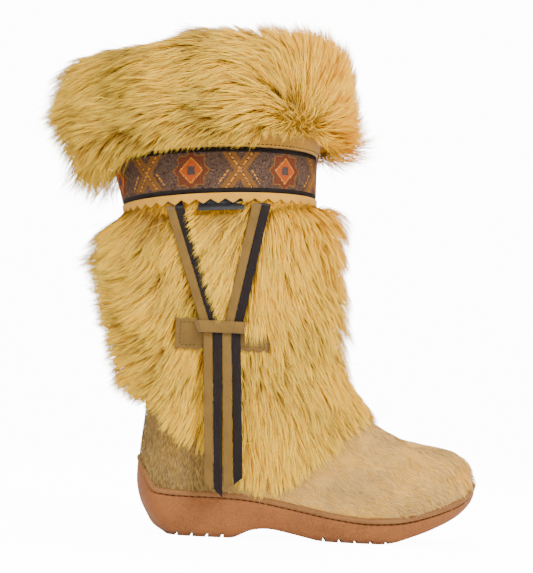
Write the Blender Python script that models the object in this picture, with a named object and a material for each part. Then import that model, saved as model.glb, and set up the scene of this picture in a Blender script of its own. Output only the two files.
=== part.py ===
"""Fur winter boot for the right foot, empty and standing on its sole.

Metres, +X to the toe, +Y to the medial side, +Z up. The origin is the middle of
the heel's tread on the floor. Each named object is one closed solid.
"""
import math
import random
from collections import namedtuple

import bmesh
import bpy
from mathutils import Vector
from mathutils.bvhtree import BVHTree

OBJECT_NAME = "fur_boot"

SOLE_LENGTH = 0.2715
HEEL_BACK_X = -0.0525
BALL_WIDTH = 0.097
RIM_HEIGHT = 0.0356
SHELL_HEIGHT = 0.376

GAP = 0.0003
WALL = 0.0028

SOLE_SIDE_STATIONS = 20
SOLE_EDGE = 0.010
INSOLE_THICKNESS = 0.004
TREAD_GROOVE_WIDTH = 0.0022
TREAD_GROOVE_DEPTH = 0.0026
HEEL_GROOVES = (0.1271, 0.1713, 0.2155, 0.2597)
FOREFOOT_GROOVES = (0.5506, 0.5948, 0.6390, 0.6832, 0.7263, 0.7716, 0.8158)
PRISM_HALF_SPAN = 1.55

RING_POINTS = 28
COLLAR = 0.966
BAND_HIGH = 0.848
BAND_LOW = 0.797
STRIP_LOW = 0.776

BAND_THICKNESS = 0.0030
BAND_EDGE_THICKNESS = 0.0018
BAND_EDGE_STATION = 0.0055
STATION_GAP = 0.0005
STRIP_LIFT = 0.0023
STRIP_THICKNESS = 0.0015
STRIP_TOOTH_SHARE = 0.48
STRIP_STEPS_PER_FACET = 3
LABEL_THICKNESS = 0.0011
LABEL_FRONT_X = 0.0257
LABEL_BACK_X = -0.0099
LABEL_COLUMNS = 5
LABEL_DROPS = (0.0045, 0.0107, 0.0137, 0.0165)
LABEL_TUCKED_ROWS = 2

FUR_DEPTH = 0.030
CUFF_DEPTH = 0.040

THONG_WIDTH = 0.0068
THONG_THICKNESS = 0.0014
DRAPE_CLEARANCE = 0.0006
THONG_STEPS = 17
HANG_STEPS = 8
HANG_LEAN = 0.03
KEEPER_HIGH_Z = 0.1661
KEEPER_LOW_Z = 0.1571
KEEPER_THICKNESS = 0.0013
KEEPER_FOOT = 0.0026
PATCH_BACK_X = -0.0238
PATCH_FRONT_X = 0.0493
PATCH_HIGH_Z = 0.1684
PATCH_LOW_Z = 0.1436
PATCH_THICKNESS = 0.0012
PATCH_TOOTH = 0.0018
PATCH_TEETH = 9

# Outline of the sole: share of SOLE_LENGTH from the heel, edges in shares of BALL_WIDTH.
PlanRow = namedtuple("PlanRow", "share lateral medial")
SOLE_PLAN = (
    PlanRow(0.00, 0.000, 0.000),
    PlanRow(0.03, -0.235, 0.235),
    PlanRow(0.06, -0.312, 0.312),
    PlanRow(0.12, -0.358, 0.356),
    PlanRow(0.20, -0.366, 0.360),
    PlanRow(0.30, -0.360, 0.340),
    PlanRow(0.40, -0.362, 0.302),
    PlanRow(0.50, -0.398, 0.312),
    PlanRow(0.60, -0.452, 0.392),
    PlanRow(0.68, -0.484, 0.475),
    PlanRow(0.75, -0.482, 0.515),
    PlanRow(0.83, -0.432, 0.502),
    PlanRow(0.90, -0.330, 0.457),
    PlanRow(0.95, -0.205, 0.385),
    PlanRow(0.98, -0.075, 0.300),
    PlanRow(1.00, 0.125, 0.125),
)

# Side of the sole: share of SOLE_LENGTH, heights in shares of RIM_HEIGHT.
SideRow = namedtuple("SideRow", "share bottom bed rim")
SOLE_SIDE = (
    SideRow(0.000, 0.000, 0.80, 1.740),
    SideRow(0.026, 0.000, 0.78, 1.420),
    SideRow(0.052, 0.000, 0.76, 1.100),
    SideRow(0.079, 0.000, 0.76, 1.030),
    SideRow(0.131, 0.000, 0.76, 1.006),
    SideRow(0.223, 0.000, 0.74, 1.000),
    SideRow(0.296, 0.000, 0.71, 0.975),
    SideRow(0.326, 0.095, 0.68, 0.958),
    SideRow(0.358, 0.190, 0.65, 0.928),
    SideRow(0.400, 0.222, 0.59, 0.875),
    SideRow(0.436, 0.190, 0.54, 0.825),
    SideRow(0.490, 0.110, 0.46, 0.750),
    SideRow(0.545, 0.028, 0.40, 0.672),
    SideRow(0.580, 0.000, 0.36, 0.630),
    SideRow(0.660, 0.000, 0.32, 0.565),
    SideRow(0.740, 0.000, 0.34, 0.580),
    SideRow(0.780, 0.050, 0.38, 0.620),
    SideRow(0.820, 0.150, 0.45, 0.690),
    SideRow(0.885, 0.330, 0.60, 0.840),
    SideRow(0.950, 0.560, 0.84, 1.040),
    SideRow(0.985, 0.740, 1.04, 1.230),
    SideRow(1.000, 0.840, 1.16, 1.385),
)

# Rings of the sole's wall: height share from the bottom to the groove, insets in
# shares of SOLE_EDGE at the heel's back, the toe and the sides.
WallRow = namedtuple("WallRow", "share heel toe side")
SOLE_WALL = (
    WallRow(0.00, 2.50, 1.05, 0.90),
    WallRow(0.03, 2.28, 0.90, 0.66),
    WallRow(0.13, 1.45, 0.62, 0.42),
    WallRow(0.27, 0.93, 0.42, 0.28),
    WallRow(0.46, 0.38, 0.24, 0.16),
    WallRow(0.70, 0.04, 0.10, 0.08),
    WallRow(0.97, 0.02, 0.06, 0.06),
)

# Rings of the lip: drop below the rim in shares of SOLE_EDGE, and the inset.
LipRow = namedtuple("LipRow", "drop inset")
SOLE_LIP = (
    LipRow(0.66, 0.17),
    LipRow(0.58, 0.17),
    LipRow(0.50, -0.02),
    LipRow(0.20, -0.04),
    LipRow(0.03, 0.06),
    LipRow(0.00, 0.15),
)

# Sections of the last: station from toe to collar; front and back points with x in
# shares of SOLE_LENGTH from the heel and z in shares of SHELL_HEIGHT; edges in shares
# of BALL_WIDTH; place of the widest point; roundness powers above and below it.
LastRow = namedtuple(
    "LastRow", "station front_x front_z back_x back_z lateral medial widest upper lower"
)
LAST = (
    LastRow(0.000, 0.9919, 0.1436, 0.9919, 0.1117, 0.083, 0.168, 0.55, 2.20, 2.20),
    LastRow(0.014, 0.9838, 0.1609, 0.9838, 0.0891, 0.004, 0.233, 0.60, 2.10, 2.60),
    LastRow(0.026, 0.9669, 0.1777, 0.9669, 0.0758, -0.093, 0.310, 0.62, 2.10, 3.00),
    LastRow(0.041, 0.9374, 0.1907, 0.9374, 0.0612, -0.209, 0.382, 0.64, 2.10, 3.40),
    LastRow(0.061, 0.8932, 0.2011, 0.8932, 0.0465, -0.313, 0.440, 0.65, 2.10, 3.80),
    LastRow(0.090, 0.8269, 0.2088, 0.8269, 0.0306, -0.410, 0.481, 0.66, 2.10, 4.00),
    LastRow(0.118, 0.7643, 0.2197, 0.7606, 0.0213, -0.457, 0.497, 0.67, 2.10, 4.00),
    LastRow(0.168, 0.6759, 0.2532, 0.6427, 0.0181, -0.459, 0.430, 0.69, 2.10, 4.00),
    LastRow(0.196, 0.6390, 0.2753, 0.5764, 0.0226, -0.432, 0.367, 0.70, 2.10, 4.00),
    LastRow(0.230, 0.6059, 0.3005, 0.4954, 0.0319, -0.392, 0.307, 0.71, 2.05, 4.00),
    LastRow(0.271, 0.5764, 0.3298, 0.3996, 0.0426, -0.357, 0.290, 0.72, 2.00, 4.00),
    LastRow(0.314, 0.5580, 0.3537, 0.2965, 0.0532, -0.350, 0.321, 0.73, 2.00, 3.80),
    LastRow(0.361, 0.5433, 0.3777, 0.1860, 0.0572, -0.360, 0.352, 0.73, 2.00, 3.40),
    LastRow(0.401, 0.5322, 0.3989, 0.0902, 0.0598, -0.362, 0.360, 0.72, 2.00, 3.00),
    LastRow(0.429, 0.5249, 0.4202, 0.0313, 0.0824, -0.358, 0.358, 0.69, 2.00, 2.60),
    LastRow(0.454, 0.5175, 0.4415, 0.0081, 0.1223, -0.357, 0.357, 0.64, 2.00, 2.30),
    LastRow(0.502, 0.5076, 0.4840, 0.0166, 0.2048, -0.381, 0.381, 0.57, 2.00, 2.15),
    LastRow(0.533, 0.5028, 0.5133, 0.0228, 0.2580, -0.402, 0.402, 0.54, 2.00, 2.10),
    LastRow(0.569, 0.4991, 0.5452, 0.0184, 0.3191, -0.428, 0.428, 0.52, 2.00, 2.05),
    LastRow(0.662, 0.4917, 0.6170, -0.0166, 0.4867, -0.500, 0.500, 0.50, 2.00, 2.00),
    LastRow(0.726, 0.4880, 0.6622, -0.0424, 0.5957, -0.546, 0.546, 0.50, 2.00, 2.00),
    LastRow(0.776, 0.4869, 0.6981, -0.0608, 0.6702, -0.578, 0.578, 0.50, 2.00, 2.00),
    LastRow(0.797, 0.4862, 0.7261, -0.0681, 0.6981, -0.588, 0.588, 0.50, 2.00, 2.00),
    LastRow(0.848, 0.4862, 0.8085, -0.0994, 0.7819, -0.619, 0.619, 0.50, 2.00, 2.00),
    LastRow(0.906, 0.4917, 0.9043, -0.1197, 0.8856, -0.634, 0.634, 0.50, 2.00, 2.00),
    LastRow(0.966, 0.4991, 1.0000, -0.1308, 0.9947, -0.639, 0.639, 0.50, 2.00, 2.00),
    LastRow(1.000, 0.5028, 1.0585, -0.1381, 1.0532, -0.644, 0.644, 0.50, 2.00, 2.00),
)

# Depth of the long fur over the shell, in shares of FUR_DEPTH.
FurRow = namedtuple("FurRow", "station front back side")
SHAFT_FUR = (
    FurRow(0.168, 0.13, 0.11, 0.13),
    FurRow(0.196, 0.34, 0.10, 0.14),
    FurRow(0.230, 0.36, 0.10, 0.16),
    FurRow(0.271, 0.38, 0.10, 0.18),
    FurRow(0.361, 0.56, 0.10, 0.22),
    FurRow(0.401, 0.62, 0.10, 0.24),
    FurRow(0.454, 0.76, 0.14, 0.28),
    FurRow(0.502, 1.04, 0.30, 0.34),
    FurRow(0.533, 1.06, 0.62, 0.36),
    FurRow(0.569, 0.88, 0.84, 0.38),
    FurRow(0.600, 0.88, 0.76, 0.38),
    FurRow(0.622, 0.92, 1.02, 0.42),
    FurRow(0.662, 1.02, 1.12, 0.44),
    FurRow(0.705, 0.92, 1.12, 0.40),
    FurRow(0.738, 0.68, 0.88, 0.32),
    FurRow(0.758, 0.46, 0.50, 0.18),
    FurRow(0.772, 0.22, 0.16, 0.05),
)

# Loop of the cuff's cross section from the groove's outer foot round the fold to the
# groove's inner foot: station, and depth outside the shell in shares of CUFF_DEPTH.
CUFF_LOOP = (
    FurRow(0.855, 0.25, 0.30, 0.20),
    FurRow(0.846, 0.60, 0.66, 0.48),
    FurRow(0.855, 0.88, 0.94, 0.78),
    FurRow(0.884, 0.88, 1.06, 0.88),
    FurRow(0.925, 0.74, 1.10, 0.90),
    FurRow(0.958, 0.68, 1.02, 0.84),
    FurRow(0.984, 0.54, 0.74, 0.64),
    FurRow(0.998, 0.26, 0.32, 0.32),
    FurRow(1.000, 0.00, 0.00, 0.00),
    FurRow(0.990, -0.22, -0.22, -0.22),
    FurRow(0.966, -0.27, -0.27, -0.27),
    FurRow(0.936, -0.22, -0.22, -0.22),
    FurRow(0.936, -0.05, -0.05, -0.05),
    FurRow(0.858, 0.02, 0.02, 0.02),
)

# Lower edge of the long fur seen from the side: x from the heel in shares of
# SOLE_LENGTH, z in shares of SHELL_HEIGHT.
EdgeRow = namedtuple("EdgeRow", "x z")
FRINGE_EDGE = (
    EdgeRow(-0.20, 0.292),
    EdgeRow(0.00, 0.276),
    EdgeRow(0.06, 0.258),
    EdgeRow(0.14, 0.226),
    EdgeRow(0.20, 0.200),
    EdgeRow(0.26, 0.158),
    EdgeRow(0.32, 0.126),
    EdgeRow(0.37, 0.112),
    EdgeRow(0.44, 0.124),
    EdgeRow(0.50, 0.168),
    EdgeRow(0.56, 0.206),
    EdgeRow(0.63, 0.238),
    EdgeRow(0.70, 0.256),
    EdgeRow(1.20, 0.330),
)

# Rows of locks on the shaft: station, number round, then length, lift and width in
# shares of FUR_DEPTH.
LockRow = namedtuple("LockRow", "station count length lift width")
SHAFT_LOCKS = (
    LockRow(0.735, 9, 1.05, 0.20, 0.55),
    LockRow(0.680, 9, 1.10, 0.22, 0.60),
    LockRow(0.628, 9, 1.15, 0.22, 0.60),
    LockRow(0.575, 9, 1.10, 0.20, 0.60),
    LockRow(0.520, 8, 1.00, 0.16, 0.55),
)
FRINGE_LOCKS = 11
FRINGE_LOCK_LENGTH = 0.62
FRINGE_LOCK_WIDTH = 0.42
FRINGE_LOCK_RISE = 0.22

CUFF_LOCKS = (
    LockRow(0.872, 15, 0.90, 0.10, 0.50),
    LockRow(0.925, 12, 0.85, 0.16, 0.50),
    LockRow(0.985, 13, 0.60, 0.20, 0.42),
)
LOCK_ROOT_DEPTH = 0.16
LOCK_WAIST = 0.35
LOCK_ROOT_WIDTH = 0.8
LOCK_SPREAD = 0.2
LOCK_LENGTH_SPREAD = 0.15
LOCK_LIFT_RANGE = (0.6, 1.3)
FLOW_STEP = 0.02
FRINGE_FIRST = 0.7
FRINGE_SPARE = 0.4
BED_MARGIN = 0.2
LOCK_FLATNESS = 0.55
LOCK_SEED = 7
FRINGE_ROOT_DEPTH = 0.0012

# Thongs: x at the strip and at the keeper, x and z of the two lower corners.
Thong = namedtuple("Thong", "name top_x keeper_x end_x end_back_z end_front_z colour")
THONGS = (
    Thong("thong_tan_rear", -0.0340, 0.0016, 0.0070, 0.0430, 0.0374, "tan"),
    Thong("thong_dark_rear", -0.0268, 0.0088, 0.0144, 0.0384, 0.0318, "dark"),
    Thong("thong_tan_front", 0.0367, 0.0160, 0.0218, 0.0368, 0.0418, "tan"),
    Thong("thong_dark_front", 0.0439, 0.0232, 0.0292, 0.0415, 0.0472, "dark"),
)
THONG_TOP_Z = 0.2620
THONG_TOP_SLOPE = 0.0698
THONG_TUCK = 0.0050
TUCK_CLEARANCE = 0.0001
THONG_STEP_OUT = 0.0030
THONG_WINDOW = 0.0055
WINDOW_SHARES = (-1.0, -0.5, 0.0, 0.5, 1.0)

MATERIALS = {
    "sole": ((0.565, 0.263, 0.098, 1.0), 0.62),
    "insole": ((0.620, 0.480, 0.300, 1.0), 0.90),
    "short_fur": ((0.480, 0.370, 0.190, 1.0), 0.80),
    "long_fur": ((0.640, 0.400, 0.150, 1.0), 0.85),
    "band": ((0.150, 0.085, 0.055, 1.0), 0.75),
    "tan": ((0.440, 0.250, 0.110, 1.0), 0.78),
    "dark": ((0.045, 0.026, 0.026, 1.0), 0.55),
    "label": ((0.012, 0.014, 0.020, 1.0), 0.60),
}


def clear_scene():
    for old in list(bpy.data.objects):
        bpy.data.objects.remove(old)


def collection(name):
    found = bpy.data.collections.new(name)
    bpy.context.scene.collection.children.link(found)
    return found


def blend(rows, key, column, value):
    """Smooth value of a column at a key, through all rows of a table."""
    keys = [getattr(row, key) for row in rows]
    values = [getattr(row, column) for row in rows]
    return hermite(keys, values, value)


def hermite(keys, values, value):
    last = len(keys) - 1
    if value <= keys[0]:
        return values[0]
    if value >= keys[last]:
        return values[last]
    index = max(i for i in range(last) if keys[i] <= value)

    def slope(i):
        low, high = max(i - 1, 0), min(i + 1, last)
        return (values[high] - values[low]) / (keys[high] - keys[low])

    step = keys[index + 1] - keys[index]
    t = (value - keys[index]) / step
    start = (2 * t ** 3 - 3 * t ** 2 + 1) * values[index]
    leave = (t ** 3 - 2 * t ** 2 + t) * step * slope(index)
    end = (3 * t ** 2 - 2 * t ** 3) * values[index + 1]
    arrive = (t ** 3 - t ** 2) * step * slope(index + 1)
    return start + leave + end + arrive


def length_share(x):
    return (x - HEEL_BACK_X) / SOLE_LENGTH


def side_height(column, share):
    return RIM_HEIGHT * max(blend(SOLE_SIDE, "share", column, share), 0.0)


def plan_edges(turn):
    """Lateral and medial edge of the sole at a turn from 0 at the heel to pi at the toe."""
    turns = [math.acos(1 - 2 * row.share) for row in SOLE_PLAN]
    lateral = BALL_WIDTH * hermite(turns, [row.lateral for row in SOLE_PLAN], turn)
    medial = BALL_WIDTH * hermite(turns, [row.medial for row in SOLE_PLAN], turn)
    return lateral, medial


def sole_ring(heel_inset, toe_inset, side_inset, height):
    """Ring of the sole from the heel by the lateral side to the toe and back.

    The height is read from the share along the outline, and the run along the floor.
    """
    points = []
    span = SOLE_LENGTH - heel_inset - toe_inset
    for index in range(2 * SOLE_SIDE_STATIONS):
        turn = math.pi * index / SOLE_SIDE_STATIONS
        fold = min(turn, 2 * math.pi - turn)
        share = (1 - math.cos(fold)) / 2
        run = share + heel_inset * (1 - share) / SOLE_LENGTH
        lateral, medial = plan_edges(fold)
        middle = (lateral + medial) / 2
        half = (medial - lateral) / 2 * (1 - 2 * side_inset / BALL_WIDTH)
        side = -1 if turn < math.pi else 1
        x = HEEL_BACK_X + heel_inset + span * share
        points.append(Vector((x, middle + side * half, height(share, run))))
    return points


def wall_height(level):
    def height(share, run):
        bottom = side_height("bottom", run)
        top = side_height("rim", share) - SOLE_LIP[0].drop * SOLE_EDGE
        return bottom + level * (top - bottom)
    return height


def lip_height(drop):
    return lambda share, run: side_height("rim", share) - drop * SOLE_EDGE


def sole_rings():
    rings = []
    for row in SOLE_WALL:
        insets = [SOLE_EDGE * inset for inset in (row.heel, row.toe, row.side)]
        rings.append(sole_ring(*insets, wall_height(row.share)))
    for row in SOLE_LIP:
        inset = SOLE_EDGE * row.inset
        rings.append(sole_ring(inset, inset, inset, lip_height(row.drop)))
    return rings


def new_object(name, mesh_data, home):
    mesh = bpy.data.meshes.new(name)
    mesh_data.to_mesh(mesh)
    mesh_data.free()
    made = bpy.data.objects.new(name, mesh)
    home.objects.link(made)
    return made


def add_ring(mesh_data, points):
    return [mesh_data.verts.new(point) for point in points]


def join_rings(mesh_data, lower, upper):
    count = len(lower)
    for i in range(count):
        j = (i + 1) % count
        mesh_data.faces.new((lower[i], lower[j], upper[j], upper[i]))


def cap_across(mesh_data, ring):
    """Closes a ring with faces between the points that face each other."""
    half = len(ring) // 2
    mesh_data.faces.new((ring[0], ring[1], ring[-1]))
    for i in range(1, half - 1):
        mesh_data.faces.new((ring[i], ring[i + 1], ring[-i - 1], ring[-i]))
    mesh_data.faces.new((ring[half - 1], ring[half], ring[half + 1]))


def loft(name, rings, home):
    """Closed solid through rings, capped at both ends."""
    data = bmesh.new()
    made = [add_ring(data, ring) for ring in rings]
    for lower, upper in zip(made, made[1:]):
        join_rings(data, lower, upper)
    cap_across(data, made[0])
    cap_across(data, made[-1])
    bmesh.ops.recalc_face_normals(data, faces=data.faces)
    return new_object(name, data, home)


def tube(name, rings, home):
    """Closed solid through rings whose last meets the first."""
    data = bmesh.new()
    made = [add_ring(data, ring) for ring in rings]
    for lower, upper in zip(made, made[1:] + made[:1]):
        join_rings(data, lower, upper)
    bmesh.ops.recalc_face_normals(data, faces=data.faces)
    return new_object(name, data, home)


def prism(name, outline, home):
    """Solid with a side outline in x and z, drawn out across the boot."""
    half_width = BALL_WIDTH * PRISM_HALF_SPAN
    data = bmesh.new()
    left = [data.verts.new((x, -half_width, z)) for x, z in outline]
    right = [data.verts.new((x, half_width, z)) for x, z in outline]
    join_rings(data, left, right)
    data.faces.new(left)
    data.faces.new(right)
    bmesh.ops.recalc_face_normals(data, faces=data.faces)
    bmesh.ops.triangulate(data, faces=[f for f in data.faces if len(f.verts) > 4])
    return new_object(name, data, home)


def apply_boolean(target, cutter, operation):
    change = target.modifiers.new(operation, "BOOLEAN")
    change.operation = operation
    change.solver = "EXACT"
    change.use_self = operation == "UNION"
    change.object = cutter
    graph = bpy.context.evaluated_depsgraph_get()
    result = bpy.data.meshes.new_from_object(target.evaluated_get(graph))
    target.modifiers.clear()
    old = target.data
    target.data = result
    result.name = target.name
    bpy.data.meshes.remove(old)


def section_values(station):
    return LastRow(station, *(blend(LAST, "station", name, station) for name in LAST[0]._fields[1:]))


def section_ring(station, front=0.0, back=0.0, side=0.0):
    """Section of the last from the front round the lateral side, grown outward."""
    row = section_values(station)
    start = Vector((HEEL_BACK_X + row.front_x * SOLE_LENGTH, 0, row.front_z * SHELL_HEIGHT))
    end = Vector((HEEL_BACK_X + row.back_x * SOLE_LENGTH, 0, row.back_z * SHELL_HEIGHT))
    axis = (end - start).normalized()
    start, end = start - axis * front, end + axis * back
    middle = BALL_WIDTH * (row.lateral + row.medial) / 2
    half = BALL_WIDTH * (row.medial - row.lateral) / 2 + side
    points = []
    for index in range(RING_POINTS):
        angle = 2 * math.pi * index / RING_POINTS
        along, out = math.cos(angle), math.sin(angle)
        power = 2 / (row.upper if along >= 0 else row.lower)
        reach = abs(along) ** power
        if along >= 0:
            share = row.widest * (1 - reach)
        else:
            share = row.widest + (1 - row.widest) * reach
        width = half * math.copysign(abs(out) ** power, out)
        point = start.lerp(end, share)
        points.append(Vector((point.x, middle - width, point.z)))
    return points


def last_form(name, offset, top, home):
    """The last up to a station, moved outward along its own normals."""
    stations = [row.station for row in LAST if row.station <= top]
    made = loft(name, [section_ring(station) for station in stations], home)
    data = bmesh.new()
    data.from_mesh(made.data)
    bmesh.ops.triangulate(data, faces=data.faces, quad_method="FIXED")
    data.normal_update()
    normals = [vert.normal * vert.calc_shell_factor() for vert in data.verts]
    for vert, normal in zip(data.verts, normals):
        vert.co += normal * offset
    data.to_mesh(made.data)
    data.free()
    return made


def bed_outline(lift, floor):
    shares = [row.share for row in SOLE_SIDE]
    margin = SOLE_LENGTH * BED_MARGIN
    points = [(HEEL_BACK_X + s * SOLE_LENGTH, side_height("bed", s) + lift) for s in shares]
    points.insert(0, (points[0][0] - margin, points[0][1]))
    points.append((points[-1][0] + margin, points[-1][1]))
    return points + [(points[-1][0], floor), (points[0][0], floor)]


def below_bed(name, lift, home):
    return prism(name, bed_outline(lift, -SOLE_LENGTH), home)


def make_outsole(home, cutters):
    outsole = loft("outsole", sole_rings(), home)
    cup = last_form("cup_form", GAP, 1.0, cutters)
    apply_boolean(cup, below_bed("cup_floor", 0.0, cutters), "DIFFERENCE")
    apply_boolean(outsole, cup, "DIFFERENCE")
    for share in HEEL_GROOVES + FOREFOOT_GROOVES:
        apply_boolean(outsole, tread_groove(share, cutters), "DIFFERENCE")
    return outsole


def tread_groove(share, cutters):
    x = HEEL_BACK_X + share * SOLE_LENGTH
    half = TREAD_GROOVE_WIDTH / 2
    low, high = x - half, x + half
    lift = TREAD_GROOVE_DEPTH
    low_z = side_height("bottom", length_share(low)) + lift
    high_z = side_height("bottom", length_share(high)) + lift
    outline = [(low, low_z), (high, high_z), (high, -lift), (low, -lift)]
    return prism("tread_groove", outline, cutters)


def make_insole(home, cutters):
    insole = last_form("insole", -WALL - GAP, 1.0, home)
    apply_boolean(insole, below_bed("insole_floor", GAP, cutters), "DIFFERENCE")
    above = below_bed("insole_top", GAP + INSOLE_THICKNESS, cutters)
    apply_boolean(insole, above, "INTERSECT")
    return insole


def collar_block(cutters):
    row = section_values(COLLAR)
    front_z, back_z = row.front_z * SHELL_HEIGHT, row.back_z * SHELL_HEIGHT
    x_front = HEEL_BACK_X + row.front_x * SOLE_LENGTH
    x_back = HEEL_BACK_X + row.back_x * SOLE_LENGTH
    slope = (front_z - back_z) / (x_front - x_back)
    near, far = x_back - CUFF_DEPTH, x_front + CUFF_DEPTH
    near_z, far_z = back_z - slope * CUFF_DEPTH, front_z + slope * CUFF_DEPTH
    high = SHELL_HEIGHT + CUFF_DEPTH * 2
    return prism("collar_block", [(near, near_z), (far, far_z), (far, high), (near, high)], cutters)


def make_upper(home, cutters):
    upper = last_form("upper", 0.0, 1.0, home)
    apply_boolean(upper, last_form("upper_hollow", -WALL, 1.0, cutters), "DIFFERENCE")
    apply_boolean(upper, below_bed("upper_floor", GAP, cutters), "DIFFERENCE")
    apply_boolean(upper, collar_block(cutters), "DIFFERENCE")
    return upper


def deep_ring(row, depth):
    return section_ring(row.station, row.front * depth, row.back * depth, row.side * depth)


def fur_values(station):
    names = FurRow._fields[1:]
    return FurRow(station, *(blend(SHAFT_FUR, "station", name, station) for name in names))


def add_lock(data, root, tip, out, width):
    """One tapered lock of hair, thickest a third of the way to its tip."""
    along = (tip - root).normalized()
    across = along.cross(out).normalized() * width / 2
    lift = across.cross(along).normalized() * width * LOCK_FLATNESS / 2
    if lift.dot(out) < 0:
        lift.negate()
    waist = root.lerp(tip, LOCK_WAIST) + lift
    rings = []
    for middle, scale in ((root, LOCK_ROOT_WIDTH), (waist, 1.0)):
        corners = (across, lift, -across, -lift)
        rings.append([data.verts.new(middle + corner * scale) for corner in corners])
    end = data.verts.new(tip)
    data.faces.new(rings[0])
    join_rings(data, rings[0], rings[1])
    for i in range(4):
        data.faces.new((rings[1][i], rings[1][(i + 1) % 4], end))


def under_thongs(point):
    """True where the hair is pressed flat behind the thongs and the keeper."""
    if point.y > 0:
        return False
    top, keeper = THONG_TOP_Z, KEEPER_HIGH_Z
    spread = min(max((point.z - keeper) / (top - keeper), 0.0), 1.0)
    back = THONGS[0].keeper_x + (THONGS[0].top_x - THONGS[0].keeper_x) * spread
    front = THONGS[-1].keeper_x + (THONGS[-1].top_x - THONGS[-1].keeper_x) * spread
    margin = 2 * THONG_WIDTH
    if PATCH_LOW_Z < point.z < PATCH_HIGH_Z:
        back, front = PATCH_BACK_X, PATCH_FRONT_X
    return back - margin < point.x < front + margin


def above_fringe(point):
    edge = SHELL_HEIGHT * blend(FRINGE_EDGE, "x", "z", length_share(point.x))
    return point.z > edge + FRINGE_LOCK_WIDTH * FUR_DEPTH


def ring_locks(data, rows, ring_of, depth, flow_sign):
    """Rows of locks round a furred form, each leaning along the flow of the hair."""
    chance = random.Random(LOCK_SEED)
    for level, row in enumerate(rows):
        ring = ring_of(row.station)
        below = ring_of(row.station - flow_sign * FLOW_STEP)
        centre = sum(ring, Vector()) / len(ring)
        for index in range(row.count):
            shift = 0.5 * (level % 2) + chance.uniform(-LOCK_SPREAD, LOCK_SPREAD)
            share = (index + shift) / row.count
            place = share * RING_POINTS % RING_POINTS
            start = int(place)
            point = ring[start].lerp(ring[(start + 1) % RING_POINTS], place - start)
            lower = below[start].lerp(below[(start + 1) % RING_POINTS], place - start)
            flow = (lower - point).normalized()
            out = point - centre
            out = (out - flow * out.dot(flow)).normalized()
            stretch = chance.uniform(-LOCK_LENGTH_SPREAD, LOCK_LENGTH_SPREAD)
            length = row.length * depth * (1 + stretch)
            root = point - out * LOCK_ROOT_DEPTH * depth
            lift = row.lift * depth * chance.uniform(*LOCK_LIFT_RANGE)
            tip = point + flow * length + out * lift
            pressed = under_thongs(point) or under_thongs(tip)
            if not pressed and above_fringe(point):
                add_lock(data, root, tip, out, row.width * depth)


def surface_of(*objects):
    trees = []
    for found in objects:
        data = bmesh.new()
        data.from_mesh(found.data)
        trees.append(BVHTree.FromBMesh(data))
        data.free()
    return trees


def outer_y(surfaces, x, z, side=-1, window=0.0):
    """Furthest face of some solids from the boot's middle plane at a place in x and z."""
    found = []
    for shift in WINDOW_SHARES:
        start = Vector((x, side * BALL_WIDTH * 2, z + shift * window))
        for tree in surfaces:
            hit = tree.ray_cast(start, Vector((0, -side, 0)))[0]
            if hit is not None:
                found.append(hit.y)
    if not found:
        return None
    return min(found) if side < 0 else max(found)


def fringe_point(share):
    row_share = FRINGE_EDGE[1].x + share * (FRINGE_EDGE[-2].x - FRINGE_EDGE[1].x)
    z = SHELL_HEIGHT * blend(FRINGE_EDGE, "x", "z", row_share)
    return HEEL_BACK_X + row_share * SOLE_LENGTH, z


def fringe_locks(data, base):
    """Locks that hang from the lower edge of the long fur on both sides."""
    chance = random.Random(LOCK_SEED)
    surfaces = surface_of(base)
    for side in (-1, 1):
        for index in range(FRINGE_LOCKS):
            shift = FRINGE_FIRST + chance.uniform(-LOCK_SPREAD, LOCK_SPREAD)
            share = (index + shift) / (FRINGE_LOCKS + FRINGE_SPARE)
            x, z = fringe_point(share)
            rise = FRINGE_LOCK_RISE * FUR_DEPTH
            face = outer_y(surfaces, x, z + rise, side)
            if face is None:
                continue
            stretch = chance.uniform(-LOCK_LENGTH_SPREAD, LOCK_LENGTH_SPREAD)
            length = FRINGE_LOCK_LENGTH * FUR_DEPTH * (1 + stretch)
            root = Vector((x, face - side * FRINGE_ROOT_DEPTH, z + rise))
            rim = side_height("rim", length_share(x))
            tip_z = max(z - length, rim + FRINGE_ROOT_DEPTH)
            tip = Vector((x - FRINGE_ROOT_DEPTH, face + side * FRINGE_ROOT_DEPTH, tip_z))
            out = Vector((0, side, 0))
            add_lock(data, root, tip, out, FRINGE_LOCK_WIDTH * FUR_DEPTH)


def fringe_block(cutters):
    points = [(HEEL_BACK_X + row.x * SOLE_LENGTH, row.z * SHELL_HEIGHT) for row in FRINGE_EDGE]
    points += [(points[-1][0], -SHELL_HEIGHT), (points[0][0], -SHELL_HEIGHT)]
    return prism("fringe_block", points, cutters)


def make_shaft_fur(home, cutters):
    def ring_of(station):
        return deep_ring(fur_values(station), FUR_DEPTH)

    fur = loft("shaft_fur", [ring_of(row.station) for row in SHAFT_FUR], home)
    apply_boolean(fur, fringe_block(cutters), "DIFFERENCE")
    data = bmesh.new()
    ring_locks(data, SHAFT_LOCKS, ring_of, FUR_DEPTH, 1)
    fringe_locks(data, fur)
    pressed = surface_of(fur)
    bmesh.ops.recalc_face_normals(data, faces=data.faces)
    apply_boolean(fur, new_object("shaft_locks", data, cutters), "UNION")
    apply_boolean(fur, last_form("shaft_bore", GAP, 1.0, cutters), "DIFFERENCE")
    return fur, pressed


def cuff_values(station):
    outside = CUFF_LOOP[2:9]
    names = FurRow._fields[1:]
    return FurRow(station, *(blend(outside, "station", name, station) for name in names))


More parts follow.
